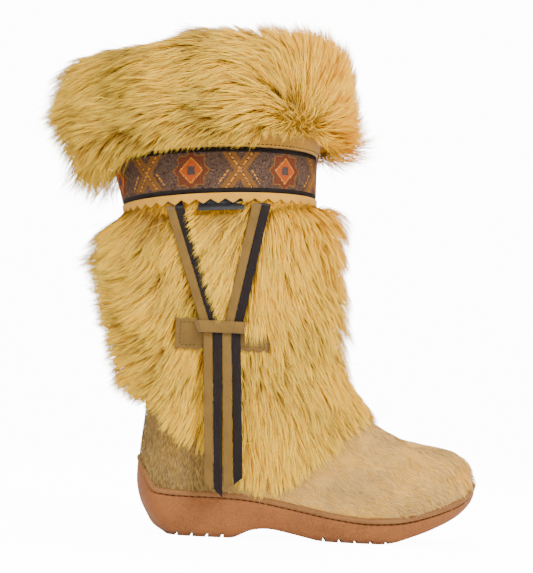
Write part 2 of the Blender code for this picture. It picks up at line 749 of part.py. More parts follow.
def make_cuff_fur(home, cutters):
    def ring_of(station):
        return deep_ring(cuff_values(station), CUFF_DEPTH)

    cuff = tube("cuff_fur", [deep_ring(row, CUFF_DEPTH) for row in CUFF_LOOP], home)
    data = bmesh.new()
    ring_locks(data, CUFF_LOCKS[:2], ring_of, CUFF_DEPTH, 1)
    ring_locks(data, CUFF_LOCKS[2:], ring_of, CUFF_DEPTH, -1)
    bmesh.ops.recalc_face_normals(data, faces=data.faces)
    apply_boolean(cuff, new_object("cuff_locks", data, cutters), "UNION")
    wall = last_form("cuff_wall", GAP, 1.0, cutters)
    apply_boolean(wall, last_form("cuff_bore", -WALL - GAP, 1.0, cutters), "DIFFERENCE")
    lid = collar_block(cutters)
    lid.location.z = GAP
    bpy.context.view_layer.update()
    apply_boolean(wall, lid, "DIFFERENCE")
    apply_boolean(cuff, wall, "DIFFERENCE")
    return cuff


def even_ring(station, depth):
    return section_ring(station, depth, depth, depth)


def make_band(home):
    edge = BAND_EDGE_STATION
    loop = (
        (BAND_LOW, GAP),
        (BAND_LOW, BAND_EDGE_THICKNESS),
        (BAND_LOW + edge, BAND_THICKNESS),
        (BAND_HIGH - edge, BAND_THICKNESS),
        (BAND_HIGH, BAND_EDGE_THICKNESS),
        (BAND_HIGH, GAP),
    )
    return tube("woven_band", [even_ring(station, depth) for station, depth in loop], home)


def split_ring(ring, parts):
    count = len(ring)
    return [
        ring[i].lerp(ring[(i + 1) % count], step / parts)
        for i in range(count) for step in range(parts)
    ]


def toothed_ring(low, high):
    """Ring of tooth tips on a low ring and valleys part way to a high one, two steps a tooth."""
    return [
        a if index % 2 else a.lerp(b, STRIP_TOOTH_SHARE)
        for index, (a, b) in enumerate(zip(low, high))
    ]


def make_pinked_strip(home):
    parts = STRIP_STEPS_PER_FACET
    rings = []
    for depth in (STRIP_LIFT, STRIP_LIFT + STRIP_THICKNESS):
        low = split_ring(even_ring(STRIP_LOW, depth), parts)
        high = split_ring(even_ring(BAND_LOW - STATION_GAP, depth), parts)
        rings.append((toothed_ring(low, high), high))
    (inner_low, inner_high), (outer_low, outer_high) = rings
    return tube("pinked_strip", [inner_high, inner_low, outer_low, outer_high], home)


def strap(name, rows, thickness, home):
    """Flat strap through pairs of edge points on its inner face, lying on the lateral side."""
    out = Vector((0, -thickness, 0))
    return loft(name, [[a, b, b + out, a + out] for a, b in rows], home)


def band_low_z(x):
    row = section_values(BAND_LOW)
    front, back = Vector((row.front_x, row.front_z)), Vector((row.back_x, row.back_z))
    share = (length_share(x) - back.x) / (front.x - back.x)
    return SHELL_HEIGHT * (back.y + share * (front.y - back.y))


def make_label(home, shell, surfaces):
    """Label that hangs from under the strip over the top of the fur."""
    out = Vector((0, -LABEL_THICKNESS, 0))
    rings = []
    for level, drop in enumerate(LABEL_DROPS):
        inner = []
        for index in range(LABEL_COLUMNS + 1):
            x = LABEL_BACK_X + (LABEL_FRONT_X - LABEL_BACK_X) * index / LABEL_COLUMNS
            z = band_low_z(x) - drop
            if level < LABEL_TUCKED_ROWS:
                face = outer_y(shell, x, z) - GAP - TUCK_CLEARANCE
            else:
                face = outer_y(surfaces, x, z, window=THONG_WINDOW) - DRAPE_CLEARANCE
            inner.append(Vector((x, face, z)))
        rings.append(inner + [point + out for point in reversed(inner)])
    return loft("label_tab", rings, home)


def make_patch(home, surfaces):
    rows = []
    count = 2 * PATCH_TEETH
    for index in range(count + 1):
        x = PATCH_BACK_X + (PATCH_FRONT_X - PATCH_BACK_X) * index / count
        inset = PATCH_TOOTH * (index % 2)
        low, high = PATCH_LOW_Z + inset, PATCH_HIGH_Z - inset
        faces = [outer_y(surfaces, x, z) for z in (low, (low + high) / 2, high)]
        bulge = max((faces[0] + faces[2]) / 2 - faces[1], 0.0)
        lift = DRAPE_CLEARANCE + bulge
        a = Vector((x, faces[0] - lift, low))
        b = Vector((x, faces[2] - lift, high))
        rows.append((a, b))
    return strap("keeper_patch", rows, PATCH_THICKNESS, home)


def thong_heights(top):
    """Heights of a thong's rows from the strip down to the keeper's lower edge."""
    tooth = top - THONG_TUCK
    fur = tooth - THONG_STEP_OUT
    count = THONG_STEPS
    drop = (fur - KEEPER_LOW_Z) / count
    return [top, tooth] + [fur - drop * i for i in range(count + 1)]


def thong_top(thong):
    return THONG_TOP_Z + THONG_TOP_SLOPE * thong.top_x


def thong_middle(thong, z):
    """x of a thong's middle line between the strip and the keeper."""
    share = (thong_top(thong) - z) / (thong_top(thong) - KEEPER_LOW_Z)
    return thong.top_x + (thong.keeper_x - thong.top_x) * share


def make_thong(thong, home, shell, surfaces):
    half = THONG_WIDTH / 2
    rows = []
    for index, z in enumerate(thong_heights(thong_top(thong))):
        middle = thong_middle(thong, z)
        under_strip = index < 2
        pair = []
        for x in (middle - half, middle + half):
            if under_strip:
                face = outer_y(shell, x, z) - GAP - TUCK_CLEARANCE
            else:
                face = outer_y(surfaces, x, z, window=THONG_WINDOW) - DRAPE_CLEARANCE
            pair.append(Vector((x, face, z)))
        rows.append(tuple(pair))
    rows += hanging_rows(thong, rows[-1])
    return strap(thong.name, rows, THONG_THICKNESS, home)


def hanging_rows(thong, last):
    rows = []
    shift = thong.end_x - thong.keeper_x
    level = min(last[0].y, last[1].y)
    for step in range(1, HANG_STEPS + 1):
        share = step / HANG_STEPS
        pair = []
        for point, end_z in zip(last, (thong.end_back_z, thong.end_front_z)):
            z = point.z + (end_z - point.z) * share
            y = level + (point.y - level) * (1 - share) + HANG_LEAN * (point.z - z)
            pair.append(Vector((point.x + shift * share, y, z)))
        rows.append(tuple(pair))
    return rows


def make_keeper(home, thongs, surfaces):
    """Strap over the thongs, bent in at both ends to rest on the patch."""
    margin = KEEPER_HIGH_Z - KEEPER_LOW_Z
    half = THONG_WIDTH / 2
    columns = []
    for row, part in zip(THONGS, thongs):
        over = min(
            vert.co.y for vert in part.data.vertices
            if KEEPER_LOW_Z - margin < vert.co.z < KEEPER_HIGH_Z + margin
        ) - DRAPE_CLEARANCE
        columns += [(row, -half, over), (row, half, over)]
    bend = KEEPER_FOOT / 2
    back, front = columns[0], columns[-1]
    columns[0] = (back[0], back[1] - bend, back[2])
    columns[-1] = (front[0], front[1] + bend, front[2])
    columns.insert(0, (back[0], back[1] - bend - KEEPER_FOOT, None))
    columns.append((front[0], front[1] + bend + KEEPER_FOOT, None))
    rows = []
    for thong, shift, over in columns:
        pair = []
        for z in (KEEPER_LOW_Z, KEEPER_HIGH_Z):
            x = thong_middle(thong, z) + shift
            resting = outer_y(surfaces, x, z) - DRAPE_CLEARANCE
            pair.append(Vector((x, resting if over is None else over, z)))
        rows.append(tuple(pair))
    return strap("keeper_strap", rows, KEEPER_THICKNESS, home)


def paint(part, look):
    colour, roughness = MATERIALS[look]
    material = bpy.data.materials.new(part.name)
    material.use_nodes = True
    shader = material.node_tree.nodes["Principled BSDF"]
    shader.inputs["Base Color"].default_value = colour
    shader.inputs["Roughness"].default_value = roughness
    shader.inputs["Metallic"].default_value = 0.0
    part.data.materials.clear()
    part.data.materials.append(material)


def hide_cutters(cutters):
    for cutter in cutters.objects:
        cutter.hide_render = True
        cutter.display_type = "WIRE"


def main():
    clear_scene()
    home = collection(OBJECT_NAME)
    cutters = collection("cutters")
    paint(make_outsole(home, cutters), "sole")
    paint(make_insole(home, cutters), "insole")
    upper = make_upper(home, cutters)
    paint(upper, "short_fur")
    fur, pressed = make_shaft_fur(home, cutters)
    paint(fur, "long_fur")
    paint(make_cuff_fur(home, cutters), "long_fur")
    paint(make_band(home), "band")
    paint(make_pinked_strip(home), "tan")
    shell = surface_of(upper)
    paint(make_label(home, shell, shell + pressed), "label")
    patch = make_patch(home, shell + pressed)
    paint(patch, "tan")
    surfaces = shell + pressed + surface_of(patch)
    thongs = []
    for row in THONGS:
        thongs.append(make_thong(row, home, shell, surfaces))
        paint(thongs[-1], row.colour)
    paint(make_keeper(home, thongs, surfaces), "tan")
    hide_cutters(cutters)


main()
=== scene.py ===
import math
from collections import namedtuple

import bmesh
import bpy
import numpy as np
from mathutils import Matrix, Vector
from mathutils.bvhtree import BVHTree
from mathutils.kdtree import KDTree


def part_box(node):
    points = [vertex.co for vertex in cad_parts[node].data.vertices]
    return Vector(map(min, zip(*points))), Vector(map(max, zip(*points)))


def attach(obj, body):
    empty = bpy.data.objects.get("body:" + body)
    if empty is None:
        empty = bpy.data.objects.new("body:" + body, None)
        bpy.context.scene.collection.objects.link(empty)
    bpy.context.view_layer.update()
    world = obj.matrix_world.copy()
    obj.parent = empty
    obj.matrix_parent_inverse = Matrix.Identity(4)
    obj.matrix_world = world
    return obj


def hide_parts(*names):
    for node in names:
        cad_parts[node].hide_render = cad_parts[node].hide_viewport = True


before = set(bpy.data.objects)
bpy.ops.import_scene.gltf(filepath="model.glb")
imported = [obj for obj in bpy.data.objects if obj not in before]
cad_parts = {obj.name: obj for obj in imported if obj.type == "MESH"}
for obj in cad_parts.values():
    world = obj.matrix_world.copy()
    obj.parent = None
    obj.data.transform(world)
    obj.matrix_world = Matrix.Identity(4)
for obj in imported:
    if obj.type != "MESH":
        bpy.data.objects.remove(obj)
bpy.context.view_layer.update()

bl_info = {
    "name": "Fur boot dresser",
    "version": (1, 0, 0),
    "blender": (4, 5, 0),
    "location": "3D View > Sidebar > Boot",
    "description": "Dresses the solids of a fur winter boot with its hide, hair, woven band and thongs",
    "category": "Object",
}

# Sizes that the solids share, in metres.
SOLE_LENGTH = 0.2715
HEEL_BACK_X = -0.0525
BALL_WIDTH = 0.097
RIM_HEIGHT = 0.0356
SHELL_HEIGHT = 0.376
GAP = 0.0003
WALL = 0.0028
SOLE_EDGE = 0.010
COLLAR = 0.966
BAND_HIGH = 0.850
BAND_LOW = 0.793
STRIP_LOW = 0.776
STRIP_TOOTH_SHARE = 0.48
STRIP_TEETH = 42
STRIP_LIFT = 0.0023
STRIP_THICKNESS = 0.0015
FUR_DEPTH = 0.030
CUFF_DEPTH = 0.040
GROOVE_WIDTH = 0.0022
GROOVE_DEPTH = 0.0026
HEEL_GROOVES = (0.1271, 0.1713, 0.2155, 0.2597)
FOREFOOT_GROOVES = (0.5506, 0.5948, 0.6390, 0.6832, 0.7263, 0.7716, 0.8158)
KEEPER_HIGH_Z = 0.1661
KEEPER_LOW_Z = 0.1571
THONG_END_Z = 0.0400
LABEL_LOW_Z = 0.2560
LABEL_FRONT_X = 0.0257
PATCH_FRONT_X = 0.0493
PATCH_BARE_Z = 0.1520
THONG_TOP_Z = 0.2620
THONG_TOP_SLOPE = 0.0698
THONG_WIDTH = 0.0068
STRAP_GRID = 0.0012
STRAP_GRID_LOW = (-0.045, 0.035)
STRAP_GRID_CELLS = (90, 200)
BEYOND_BOOT_Y = -0.2

# Hair: where it parts on the cuff, and the stretches of x or z over which its lie changes.
PARTING = (0.070, 0.316)
PARTING_SPREAD = 0.020
PARTING_FLOW = (0.068, 0.318)
BARE_EDGE = (0.036, 0.084)
BACK_TUFT = (-0.045, -0.085)
FRONT_TUFT = (0.080, 0.098)
BAND_SHOWS_X = (-0.066, -0.044, -0.003, 0.036)
BAND_SHOWS_Z = (0.2895, 0.2930, 0.2990, 0.3000)
EDGE_SHOWS_Z = 0.3080
CUFF_SLUMP = 0.009
FRINGE_TAPER = 0.022
LOCKS_NEAR = (7, 0.62)
SHAFT_LOCKS = (LOCKS_NEAR, (90, 0.36))
CUFF_LOCKS = (LOCKS_NEAR, (90, 0.32))
FOOT_LOCKS = ((6, 0.30),)
LOOSE_SHARE = 0.10

# Woven band: depth of its threads' middle, its motifs' sizes and the colours of its threads.
WEAVE_DEPTH = 0.003
MOTIF_REACH = 0.0118
CROSS_REACH = 0.0165
CROSS_RUN = 0.0095
CROSS_RISE = 0.0115
CROSS_BAR = (0.0010, 0.0040)
STAR_SQUARE = 0.0106
STAR_SPIKE = 0.0138
DIAMOND = 0.0086
DIAMOND_RIM = 0.0090
STAR_HEART = 0.0030
BAND_EDGE_SHARE = 0.095
BAND_THREADS = {
    "ground": (70, 50, 37), "shadow": (40, 26, 18), "light": (92, 68, 50), "edge": (22, 14, 10),
    "ochre": (106, 66, 20), "yellow": (176, 112, 12), "rust": (86, 40, 18), "orange": (146, 60, 8),
    "grey": (61, 47, 40),
}

Stitch = namedtuple("Stitch", "length radius pitch")
SOLE_STITCH = Stitch(0.0036, 0.00042, 0.0050)
CUFF_STITCH = Stitch(0.0026, 0.00032, 0.0036)
PATCH_STITCH = Stitch(0.0022, 0.00028, 0.0032)
PATCH_STITCH_INSET = 0.0038

LightRow = namedtuple("LightRow", "name place size power")
LIGHTS = (
    LightRow("key", (1.2, -1.7, 1.7), 0.9, 100.0), LightRow("fill", (-1.5, -1.6, 0.9), 1.6, 16.0),
    LightRow("top", (0.1, 0.3, 2.3), 1.4, 36.0), LightRow("back", (-0.2, 2.0, 1.4), 1.8, 26.0),
)
LIGHT_TARGET = (0.04, 0.0, 0.18)
WORLD_STRENGTH = 0.6
FLOOR_GLOW = 0.35
FLOOR_GLOW_SEEN = 12.0
FLOOR_PROFILE = ((0.0, 0.0), (2.6, 0.0), (3.3, 0.06), (3.9, 0.30), (4.4, 0.80), (4.65, 1.5), (4.7, 4.5))

# The photograph's viewpoint: place in metres, angles in radians, lens for a 36 mm high sensor.
CAMERA_PLACE = (0.0451, -1.2, 0.0840)
CAMERA_PITCH = 0.0961
CAMERA_ROLL = -0.0392
CAMERA_LENS = 93.76
SENSOR_HEIGHT = 36.0

PlanRow = namedtuple("PlanRow", "share lateral medial")
SOLE_PLAN = (
    PlanRow(0.00, 0.000, 0.000), PlanRow(0.03, -0.235, 0.235), PlanRow(0.06, -0.312, 0.312),
    PlanRow(0.12, -0.358, 0.356), PlanRow(0.20, -0.366, 0.360), PlanRow(0.30, -0.360, 0.340),
    PlanRow(0.40, -0.362, 0.302), PlanRow(0.50, -0.398, 0.312), PlanRow(0.60, -0.452, 0.392),
    PlanRow(0.68, -0.484, 0.475), PlanRow(0.75, -0.482, 0.515), PlanRow(0.83, -0.432, 0.502),
    PlanRow(0.90, -0.330, 0.457), PlanRow(0.95, -0.205, 0.385), PlanRow(0.98, -0.075, 0.300),
    PlanRow(1.00, 0.125, 0.125),
)

SideRow = namedtuple("SideRow", "share bottom bed rim")
SOLE_SIDE = (
    SideRow(0.000, 0.000, 0.80, 1.740), SideRow(0.026, 0.000, 0.78, 1.420),
    SideRow(0.052, 0.000, 0.76, 1.100), SideRow(0.079, 0.000, 0.76, 1.030),
    SideRow(0.131, 0.000, 0.76, 1.006), SideRow(0.223, 0.000, 0.74, 1.000),
    SideRow(0.296, 0.000, 0.71, 0.975), SideRow(0.326, 0.095, 0.68, 0.958),
    SideRow(0.358, 0.190, 0.65, 0.928), SideRow(0.400, 0.222, 0.59, 0.875),
    SideRow(0.436, 0.190, 0.54, 0.825), SideRow(0.490, 0.110, 0.46, 0.750),
    SideRow(0.545, 0.028, 0.40, 0.672), SideRow(0.580, 0.000, 0.36, 0.630),
    SideRow(0.660, 0.000, 0.32, 0.565), SideRow(0.740, 0.000, 0.34, 0.580),
    SideRow(0.780, 0.050, 0.38, 0.620), SideRow(0.820, 0.150, 0.45, 0.690),
    SideRow(0.885, 0.330, 0.60, 0.840), SideRow(0.950, 0.560, 0.84, 1.040),
    SideRow(0.985, 0.740, 1.04, 1.230), SideRow(1.000, 0.840, 1.16, 1.385),
)

WallRow = namedtuple("WallRow", "share heel toe side")
SOLE_WALL = (
    WallRow(0.00, 2.50, 1.05, 0.90), WallRow(0.03, 2.28, 0.90, 0.66),
    WallRow(0.13, 1.45, 0.62, 0.42), WallRow(0.27, 0.93, 0.42, 0.28),
    WallRow(0.46, 0.38, 0.24, 0.16), WallRow(0.70, 0.04, 0.10, 0.08),
    WallRow(0.97, 0.02, 0.06, 0.06),
)

LipRow = namedtuple("LipRow", "drop inset")
SOLE_LIP = (
    LipRow(0.54, 0.10), LipRow(0.53, 0.20), LipRow(0.44, 0.20), LipRow(0.42, 0.03),
    LipRow(0.37, -0.03), LipRow(0.27, -0.05), LipRow(0.16, -0.03), LipRow(0.08, 0.03),
    LipRow(0.02, 0.12), LipRow(0.00, 0.24),
)

LastRow = namedtuple(
    "LastRow", "station front_x front_z back_x back_z lateral medial widest upper lower"
)
LAST = (
    LastRow(0.000, 0.9919, 0.1436, 0.9919, 0.1117, 0.083, 0.168, 0.55, 2.20, 2.20),
    LastRow(0.014, 0.9838, 0.1609, 0.9838, 0.0891, 0.004, 0.233, 0.60, 2.10, 2.60),
    LastRow(0.026, 0.9669, 0.1777, 0.9669, 0.0758, -0.093, 0.310, 0.62, 2.10, 3.00),
    LastRow(0.041, 0.9374, 0.1907, 0.9374, 0.0612, -0.209, 0.382, 0.64, 2.10, 3.40),
    LastRow(0.061, 0.8932, 0.2011, 0.8932, 0.0465, -0.313, 0.440, 0.65, 2.10, 3.80),
    LastRow(0.090, 0.8269, 0.2088, 0.8269, 0.0306, -0.410, 0.481, 0.66, 2.10, 4.00),
    LastRow(0.118, 0.7643, 0.2197, 0.7606, 0.0213, -0.457, 0.497, 0.67, 2.10, 4.00),
    LastRow(0.168, 0.6759, 0.2532, 0.6427, 0.0181, -0.459, 0.430, 0.69, 2.10, 4.00),
    LastRow(0.196, 0.6390, 0.2753, 0.5764, 0.0226, -0.432, 0.367, 0.70, 2.10, 4.00),
    LastRow(0.230, 0.6059, 0.3005, 0.4954, 0.0319, -0.392, 0.307, 0.71, 2.05, 4.00),
    LastRow(0.271, 0.5764, 0.3298, 0.3996, 0.0426, -0.357, 0.290, 0.72, 2.00, 4.00),
    LastRow(0.314, 0.5580, 0.3537, 0.2965, 0.0532, -0.350, 0.321, 0.73, 2.00, 3.80),
    LastRow(0.361, 0.5433, 0.3777, 0.1860, 0.0572, -0.360, 0.352, 0.73, 2.00, 3.40),
    LastRow(0.401, 0.5322, 0.3989, 0.0902, 0.0598, -0.362, 0.360, 0.72, 2.00, 3.00),
    LastRow(0.429, 0.5249, 0.4202, 0.0313, 0.0824, -0.358, 0.358, 0.69, 2.00, 2.60),
    LastRow(0.454, 0.5175, 0.4415, 0.0081, 0.1223, -0.357, 0.357, 0.64, 2.00, 2.30),
    LastRow(0.502, 0.5076, 0.4840, 0.0166, 0.2048, -0.381, 0.381, 0.57, 2.00, 2.15),
    LastRow(0.533, 0.5028, 0.5133, 0.0228, 0.2580, -0.402, 0.402, 0.54, 2.00, 2.10),
    LastRow(0.569, 0.4991, 0.5452, 0.0184, 0.3191, -0.428, 0.428, 0.52, 2.00, 2.05),
    LastRow(0.662, 0.4917, 0.6170, -0.0166, 0.4867, -0.500, 0.500, 0.50, 2.00, 2.00),
    LastRow(0.726, 0.4880, 0.6622, -0.0424, 0.5957, -0.546, 0.546, 0.50, 2.00, 2.00),
    LastRow(0.776, 0.4869, 0.6981, -0.0608, 0.6702, -0.578, 0.578, 0.50, 2.00, 2.00),
    LastRow(0.797, 0.4862, 0.7261, -0.0681, 0.6981, -0.588, 0.588, 0.50, 2.00, 2.00),
    LastRow(0.848, 0.4862, 0.8085, -0.0994, 0.7819, -0.619, 0.619, 0.50, 2.00, 2.00),
    LastRow(0.906, 0.4917, 0.9043, -0.1197, 0.8856, -0.634, 0.634, 0.50, 2.00, 2.00),
    LastRow(0.966, 0.4991, 1.0000, -0.1308, 0.9947, -0.639, 0.639, 0.50, 2.00, 2.00),
    LastRow(1.000, 0.5028, 1.0585, -0.1381, 1.0532, -0.644, 0.644, 0.50, 2.00, 2.00),
)

FurRow = namedtuple("FurRow", "station front back side")
SHAFT_FUR = (
    FurRow(0.168, 0.13, 0.11, 0.13), FurRow(0.196, 0.34, 0.10, 0.14), FurRow(0.230, 0.36, 0.10, 0.16),
    FurRow(0.271, 0.38, 0.10, 0.18), FurRow(0.361, 0.56, 0.10, 0.22), FurRow(0.401, 0.62, 0.10, 0.24),
    FurRow(0.454, 0.88, 0.14, 0.28), FurRow(0.502, 1.16, 0.30, 0.34), FurRow(0.533, 1.06, 0.62, 0.36),
    FurRow(0.569, 0.88, 0.84, 0.38), FurRow(0.600, 0.98, 0.76, 0.38), FurRow(0.622, 1.08, 1.02, 0.42),
    FurRow(0.662, 1.02, 1.12, 0.44), FurRow(0.705, 1.08, 1.16, 0.42), FurRow(0.738, 0.96, 1.02, 0.36),
    FurRow(0.758, 0.92, 0.78, 0.23), FurRow(0.772, 0.60, 0.42, 0.06), FurRow(0.786, 0.16, 0.10, 0.01),
)

# Outer face of the cuff's roll from the band round the fold to the inside, and its dense core.
CUFF_OUTSIDE = (
    FurRow(0.855, 0.25, 0.30, 0.20), FurRow(0.846, 0.60, 0.66, 0.48), FurRow(0.855, 0.88, 0.94, 0.78),
    FurRow(0.884, 0.88, 1.06, 0.88), FurRow(0.925, 0.74, 1.10, 0.90), FurRow(0.958, 0.68, 1.02, 0.84),
    FurRow(0.984, 0.54, 0.74, 0.64), FurRow(0.998, 0.26, 0.32, 0.32), FurRow(1.000, 0.00, 0.00, 0.00),
    FurRow(0.990, -0.22, -0.22, -0.22), FurRow(0.966, -0.27, -0.27, -0.27),
    FurRow(0.936, -0.22, -0.22, -0.22),
)
CUFF_CORE = (
    FurRow(0.868, 0.10, 0.12, 0.10), FurRow(0.866, 0.36, 0.40, 0.32), FurRow(0.874, 0.56, 0.62, 0.52),
    FurRow(0.892, 0.60, 0.70, 0.58), FurRow(0.925, 0.50, 0.74, 0.60), FurRow(0.952, 0.44, 0.66, 0.55),
    FurRow(0.972, 0.33, 0.46, 0.40), FurRow(0.984, 0.16, 0.20, 0.20), FurRow(0.986, 0.00, 0.00, 0.00),
    FurRow(0.978, -0.12, -0.12, -0.12), FurRow(0.962, -0.16, -0.16, -0.16),
    FurRow(0.940, -0.10, -0.10, -0.10),
)

EdgeRow = namedtuple("EdgeRow", "x z")
FRINGE_EDGE = (
    EdgeRow(-0.20, 0.292), EdgeRow(0.00, 0.276), EdgeRow(0.06, 0.258), EdgeRow(0.14, 0.226),
    EdgeRow(0.20, 0.200), EdgeRow(0.26, 0.158), EdgeRow(0.32, 0.126), EdgeRow(0.37, 0.112),
    EdgeRow(0.44, 0.124), EdgeRow(0.50, 0.168), EdgeRow(0.56, 0.206), EdgeRow(0.63, 0.238),
    EdgeRow(0.70, 0.256), EdgeRow(1.20, 0.330),
)

Thong = namedtuple("Thong", "name top_x keeper_x end_x colour")
THONGS = (
    Thong("thong_tan_rear", -0.0340, 0.0016, 0.0070, "tan"),
    Thong("thong_dark_rear", -0.0268, 0.0088, 0.0144, "dark"),
    Thong("thong_tan_front", 0.0367, 0.0160, 0.0218, "tan"),
    Thong("thong_dark_front", 0.0439, 0.0232, 0.0292, "dark"),
)


def tint(red, green, blue):
    """Linear colour from screen values of 0 to 255."""
    shares = [value / 255 for value in (red, green, blue)]
    line = [s / 12.92 if s <= 0.04045 else ((s + 0.055) / 1.055) ** 2.4 for s in shares]
    return (*line, 1.0)


def finish_colour(name, use, red, green, blue):
    return bpy.props.FloatVectorProperty(name=name, description=use, size=4, subtype="COLOR",
                                         default=tint(red, green, blue))


def length_value(name, use, metres):
    return bpy.props.FloatProperty(name=name, description=use, default=metres, unit="LENGTH")


def count_value(name, use, count):
    return bpy.props.IntProperty(name=name, description=use, default=count)


class BootSizes(bpy.types.PropertyGroup):
    """Lengths and numbers of the hair, and the weave"""

    long_hair: length_value("Long hair", "Length of the hair on the shaft", 0.036)
    cuff_hair: length_value("Cuff hair", "Length of the hair on the cuff", 0.034)
    short_hair: length_value("Short hair", "Length of the hair on the foot", 0.0064)
    hair_width: length_value("Hair width", "Width of one drawn lock at its root", 0.00037)
    shaft_hairs: count_value("Shaft hairs", "Locks on each side of the shaft", 35000)
    cuff_hairs: count_value("Cuff hairs", "Locks on each side of the cuff", 31000)
    foot_hairs: count_value("Foot hairs", "Short hairs on the foot", 50000)
    weave_pitch: length_value("Weave pitch", "Width of one thread of the band", 0.00078)


class BootColours(bpy.types.PropertyGroup):
    """Colours of the boot's finishes"""

    straw: finish_colour("Straw", "Main colour of the long fur", 234, 166, 8)
    sand: finish_colour("Sand", "Paler, greyer locks", 163, 126, 52)
    amber: finish_colour("Amber", "Deep golden locks", 208, 136, 0)
    # Cream and root are the hair's pale tips and brown roots: the tips are brightened further as a
    # painted highlight, the roots darkened further as painted shade deep in the fur.
    cream: finish_colour("Cream", "Bleached tips", 255, 216, 66)
    root: finish_colour("Root", "Brown roots", 104, 66, 12)
    khaki: finish_colour("Khaki", "Short hair of the foot", 186, 150, 90)
    gum: finish_colour("Gum", "Crepe of the sole", 121, 71, 32)
    lip: finish_colour("Lip", "Paler lip of the sole", 116, 76, 38)
    pinked: finish_colour("Pinked strip", "Paler leather of the pinked strip", 182, 130, 38)
    tan: finish_colour("Tan", "Tan leather", 100, 74, 30)
    dark: finish_colour("Dark", "Dark leather", 20, 11, 9)
    slate: finish_colour("Slate", "Woven label", 18, 20, 22)


def smooth(keys, values, at):
    """Smooth values through a table's rows, as the solids are drawn."""
    keys, values = np.asarray(keys, float), np.asarray(values, float)
    at = np.clip(np.asarray(at, float), keys[0], keys[-1])
    count = len(keys)
    low = np.maximum(np.arange(count) - 1, 0)
    high = np.minimum(np.arange(count) + 1, count - 1)
    slope = (values[high] - values[low]) / (keys[high] - keys[low])
    i = np.clip(np.searchsorted(keys, at, side="right") - 1, 0, count - 2)
    step = keys[i + 1] - keys[i]
    t = (at - keys[i]) / step
    start = (2 * t ** 3 - 3 * t ** 2 + 1) * values[i]
    leave = (t ** 3 - 2 * t ** 2 + t) * step * slope[i]
    end = (3 * t ** 2 - 2 * t ** 3) * values[i + 1]
    arrive = (t ** 3 - t ** 2) * step * slope[i + 1]
    return start + leave + end + arrive


def column(rows, key, name, at):
    return smooth([getattr(r, key) for r in rows], [getattr(r, name) for r in rows], at)


def length_share(x):
    return (x - HEEL_BACK_X) / SOLE_LENGTH


def side_height(name, share):
    return RIM_HEIGHT * np.maximum(column(SOLE_SIDE, "share", name, share), 0.0)


def fringe_height(x):
    return SHELL_HEIGHT * column(FRINGE_EDGE, "x", "z", length_share(x))


def ease(low, high, at):
    t = np.clip((at - low) / (high - low), 0.0, 1.0)
    return t * t * (3 - 2 * t)


def unit(vectors):
    return vectors / np.maximum(np.linalg.norm(vectors, axis=-1, keepdims=True), 1e-9)


def last_point(station, angle, front=0.0, back=0.0, side=0.0):
    """Points of the last, grown outward; angle 0 is the front, then the lateral side."""
    station, angle = np.broadcast_arrays(np.asarray(station, float), np.asarray(angle, float))
    row = {name: column(LAST, "station", name, station) for name in LastRow._fields[1:]}
    start_x = HEEL_BACK_X + row["front_x"] * SOLE_LENGTH
    start_z = row["front_z"] * SHELL_HEIGHT
    end_x = HEEL_BACK_X + row["back_x"] * SOLE_LENGTH
    end_z = row["back_z"] * SHELL_HEIGHT
    span = np.hypot(end_x - start_x, end_z - start_z)
    axis_x, axis_z = (end_x - start_x) / span, (end_z - start_z) / span
    start_x, start_z = start_x - axis_x * front, start_z - axis_z * front
    end_x, end_z = end_x + axis_x * back, end_z + axis_z * back
    middle = BALL_WIDTH * (row["lateral"] + row["medial"]) / 2
    half = BALL_WIDTH * (row["medial"] - row["lateral"]) / 2 + side
    along, out = np.cos(angle), np.sin(angle)
    power = 2 / np.where(along >= 0, row["upper"], row["lower"])
    reach = np.abs(along) ** power
    share = np.where(along >= 0, row["widest"] * (1 - reach),
                     row["widest"] + (1 - row["widest"]) * reach)
    width = half * np.sign(out) * np.abs(out) ** power
    return np.stack([start_x + (end_x - start_x) * share, middle - width,
                     start_z + (end_z - start_z) * share], axis=-1)


def ring_point(station, angle, depth):
    """Points at one depth all round the last."""
    return last_point(station, angle, depth, depth, depth)


def shaft_point(station, angle, share):
    """Points of the shaft's fur: share 0 on the shell, 1 at the tips."""
    depth = FUR_DEPTH * np.asarray(share, float)
    front = column(SHAFT_FUR, "station", "front", station) * depth
    back = column(SHAFT_FUR, "station", "back", station) * depth
    side = column(SHAFT_FUR, "station", "side", station) * depth
    return last_point(station, angle, front, back, side)


def cuff_point(rows, place, angle):
    """Points of the cuff's roll at a place of 0 to 1 along its cross section."""
    at = np.asarray(place, float) * (len(rows) - 1)
    keys = range(len(rows))
    station = smooth(keys, [row.station for row in rows], at)
    depths = [smooth(keys, [getattr(row, name) for row in rows], at) * CUFF_DEPTH
              for name in FurRow._fields[1:]]
    return last_point(station, angle, *depths)


def surface_normal(surface, place, angle):
    """Outward normals of a surface given by place and angle."""
    step = 1e-3
    along = surface(place + step, angle) - surface(place - step, angle)
    around = surface(place, angle + step) - surface(place, angle - step)
    return unit(np.cross(along, around))


def skin(rows):
    """Closed surface through rings of points, from one grid whose ends are merged."""
    rows = np.asarray(rows, float)
    count, width = rows.shape[:2]
    rows = np.concatenate([rows, rows[:, :1]], axis=1)
    data = bmesh.new()
    bmesh.ops.create_grid(data, x_segments=width, y_segments=count - 1, size=1.0)
    order = sorted(data.verts, key=lambda v: (round(v.co.y, 6), round(v.co.x, 6)))
    for vert, point in zip(order, rows.reshape(-1, 3)):
        vert.co = point
    bmesh.ops.remove_doubles(data, verts=data.verts, dist=1e-7)
    return data


def drawn(name, data):
    """Mesh of a bmesh, which is used up."""
    mesh = bpy.data.meshes.new(name)
    data.to_mesh(mesh)
    data.free()
    return mesh


def traced(mesh):
    """Tree that rays can hit, of a mesh."""
    data = bmesh.new()
    data.from_mesh(mesh)
    tree = BVHTree.FromBMesh(data)
    data.free()
    return tree


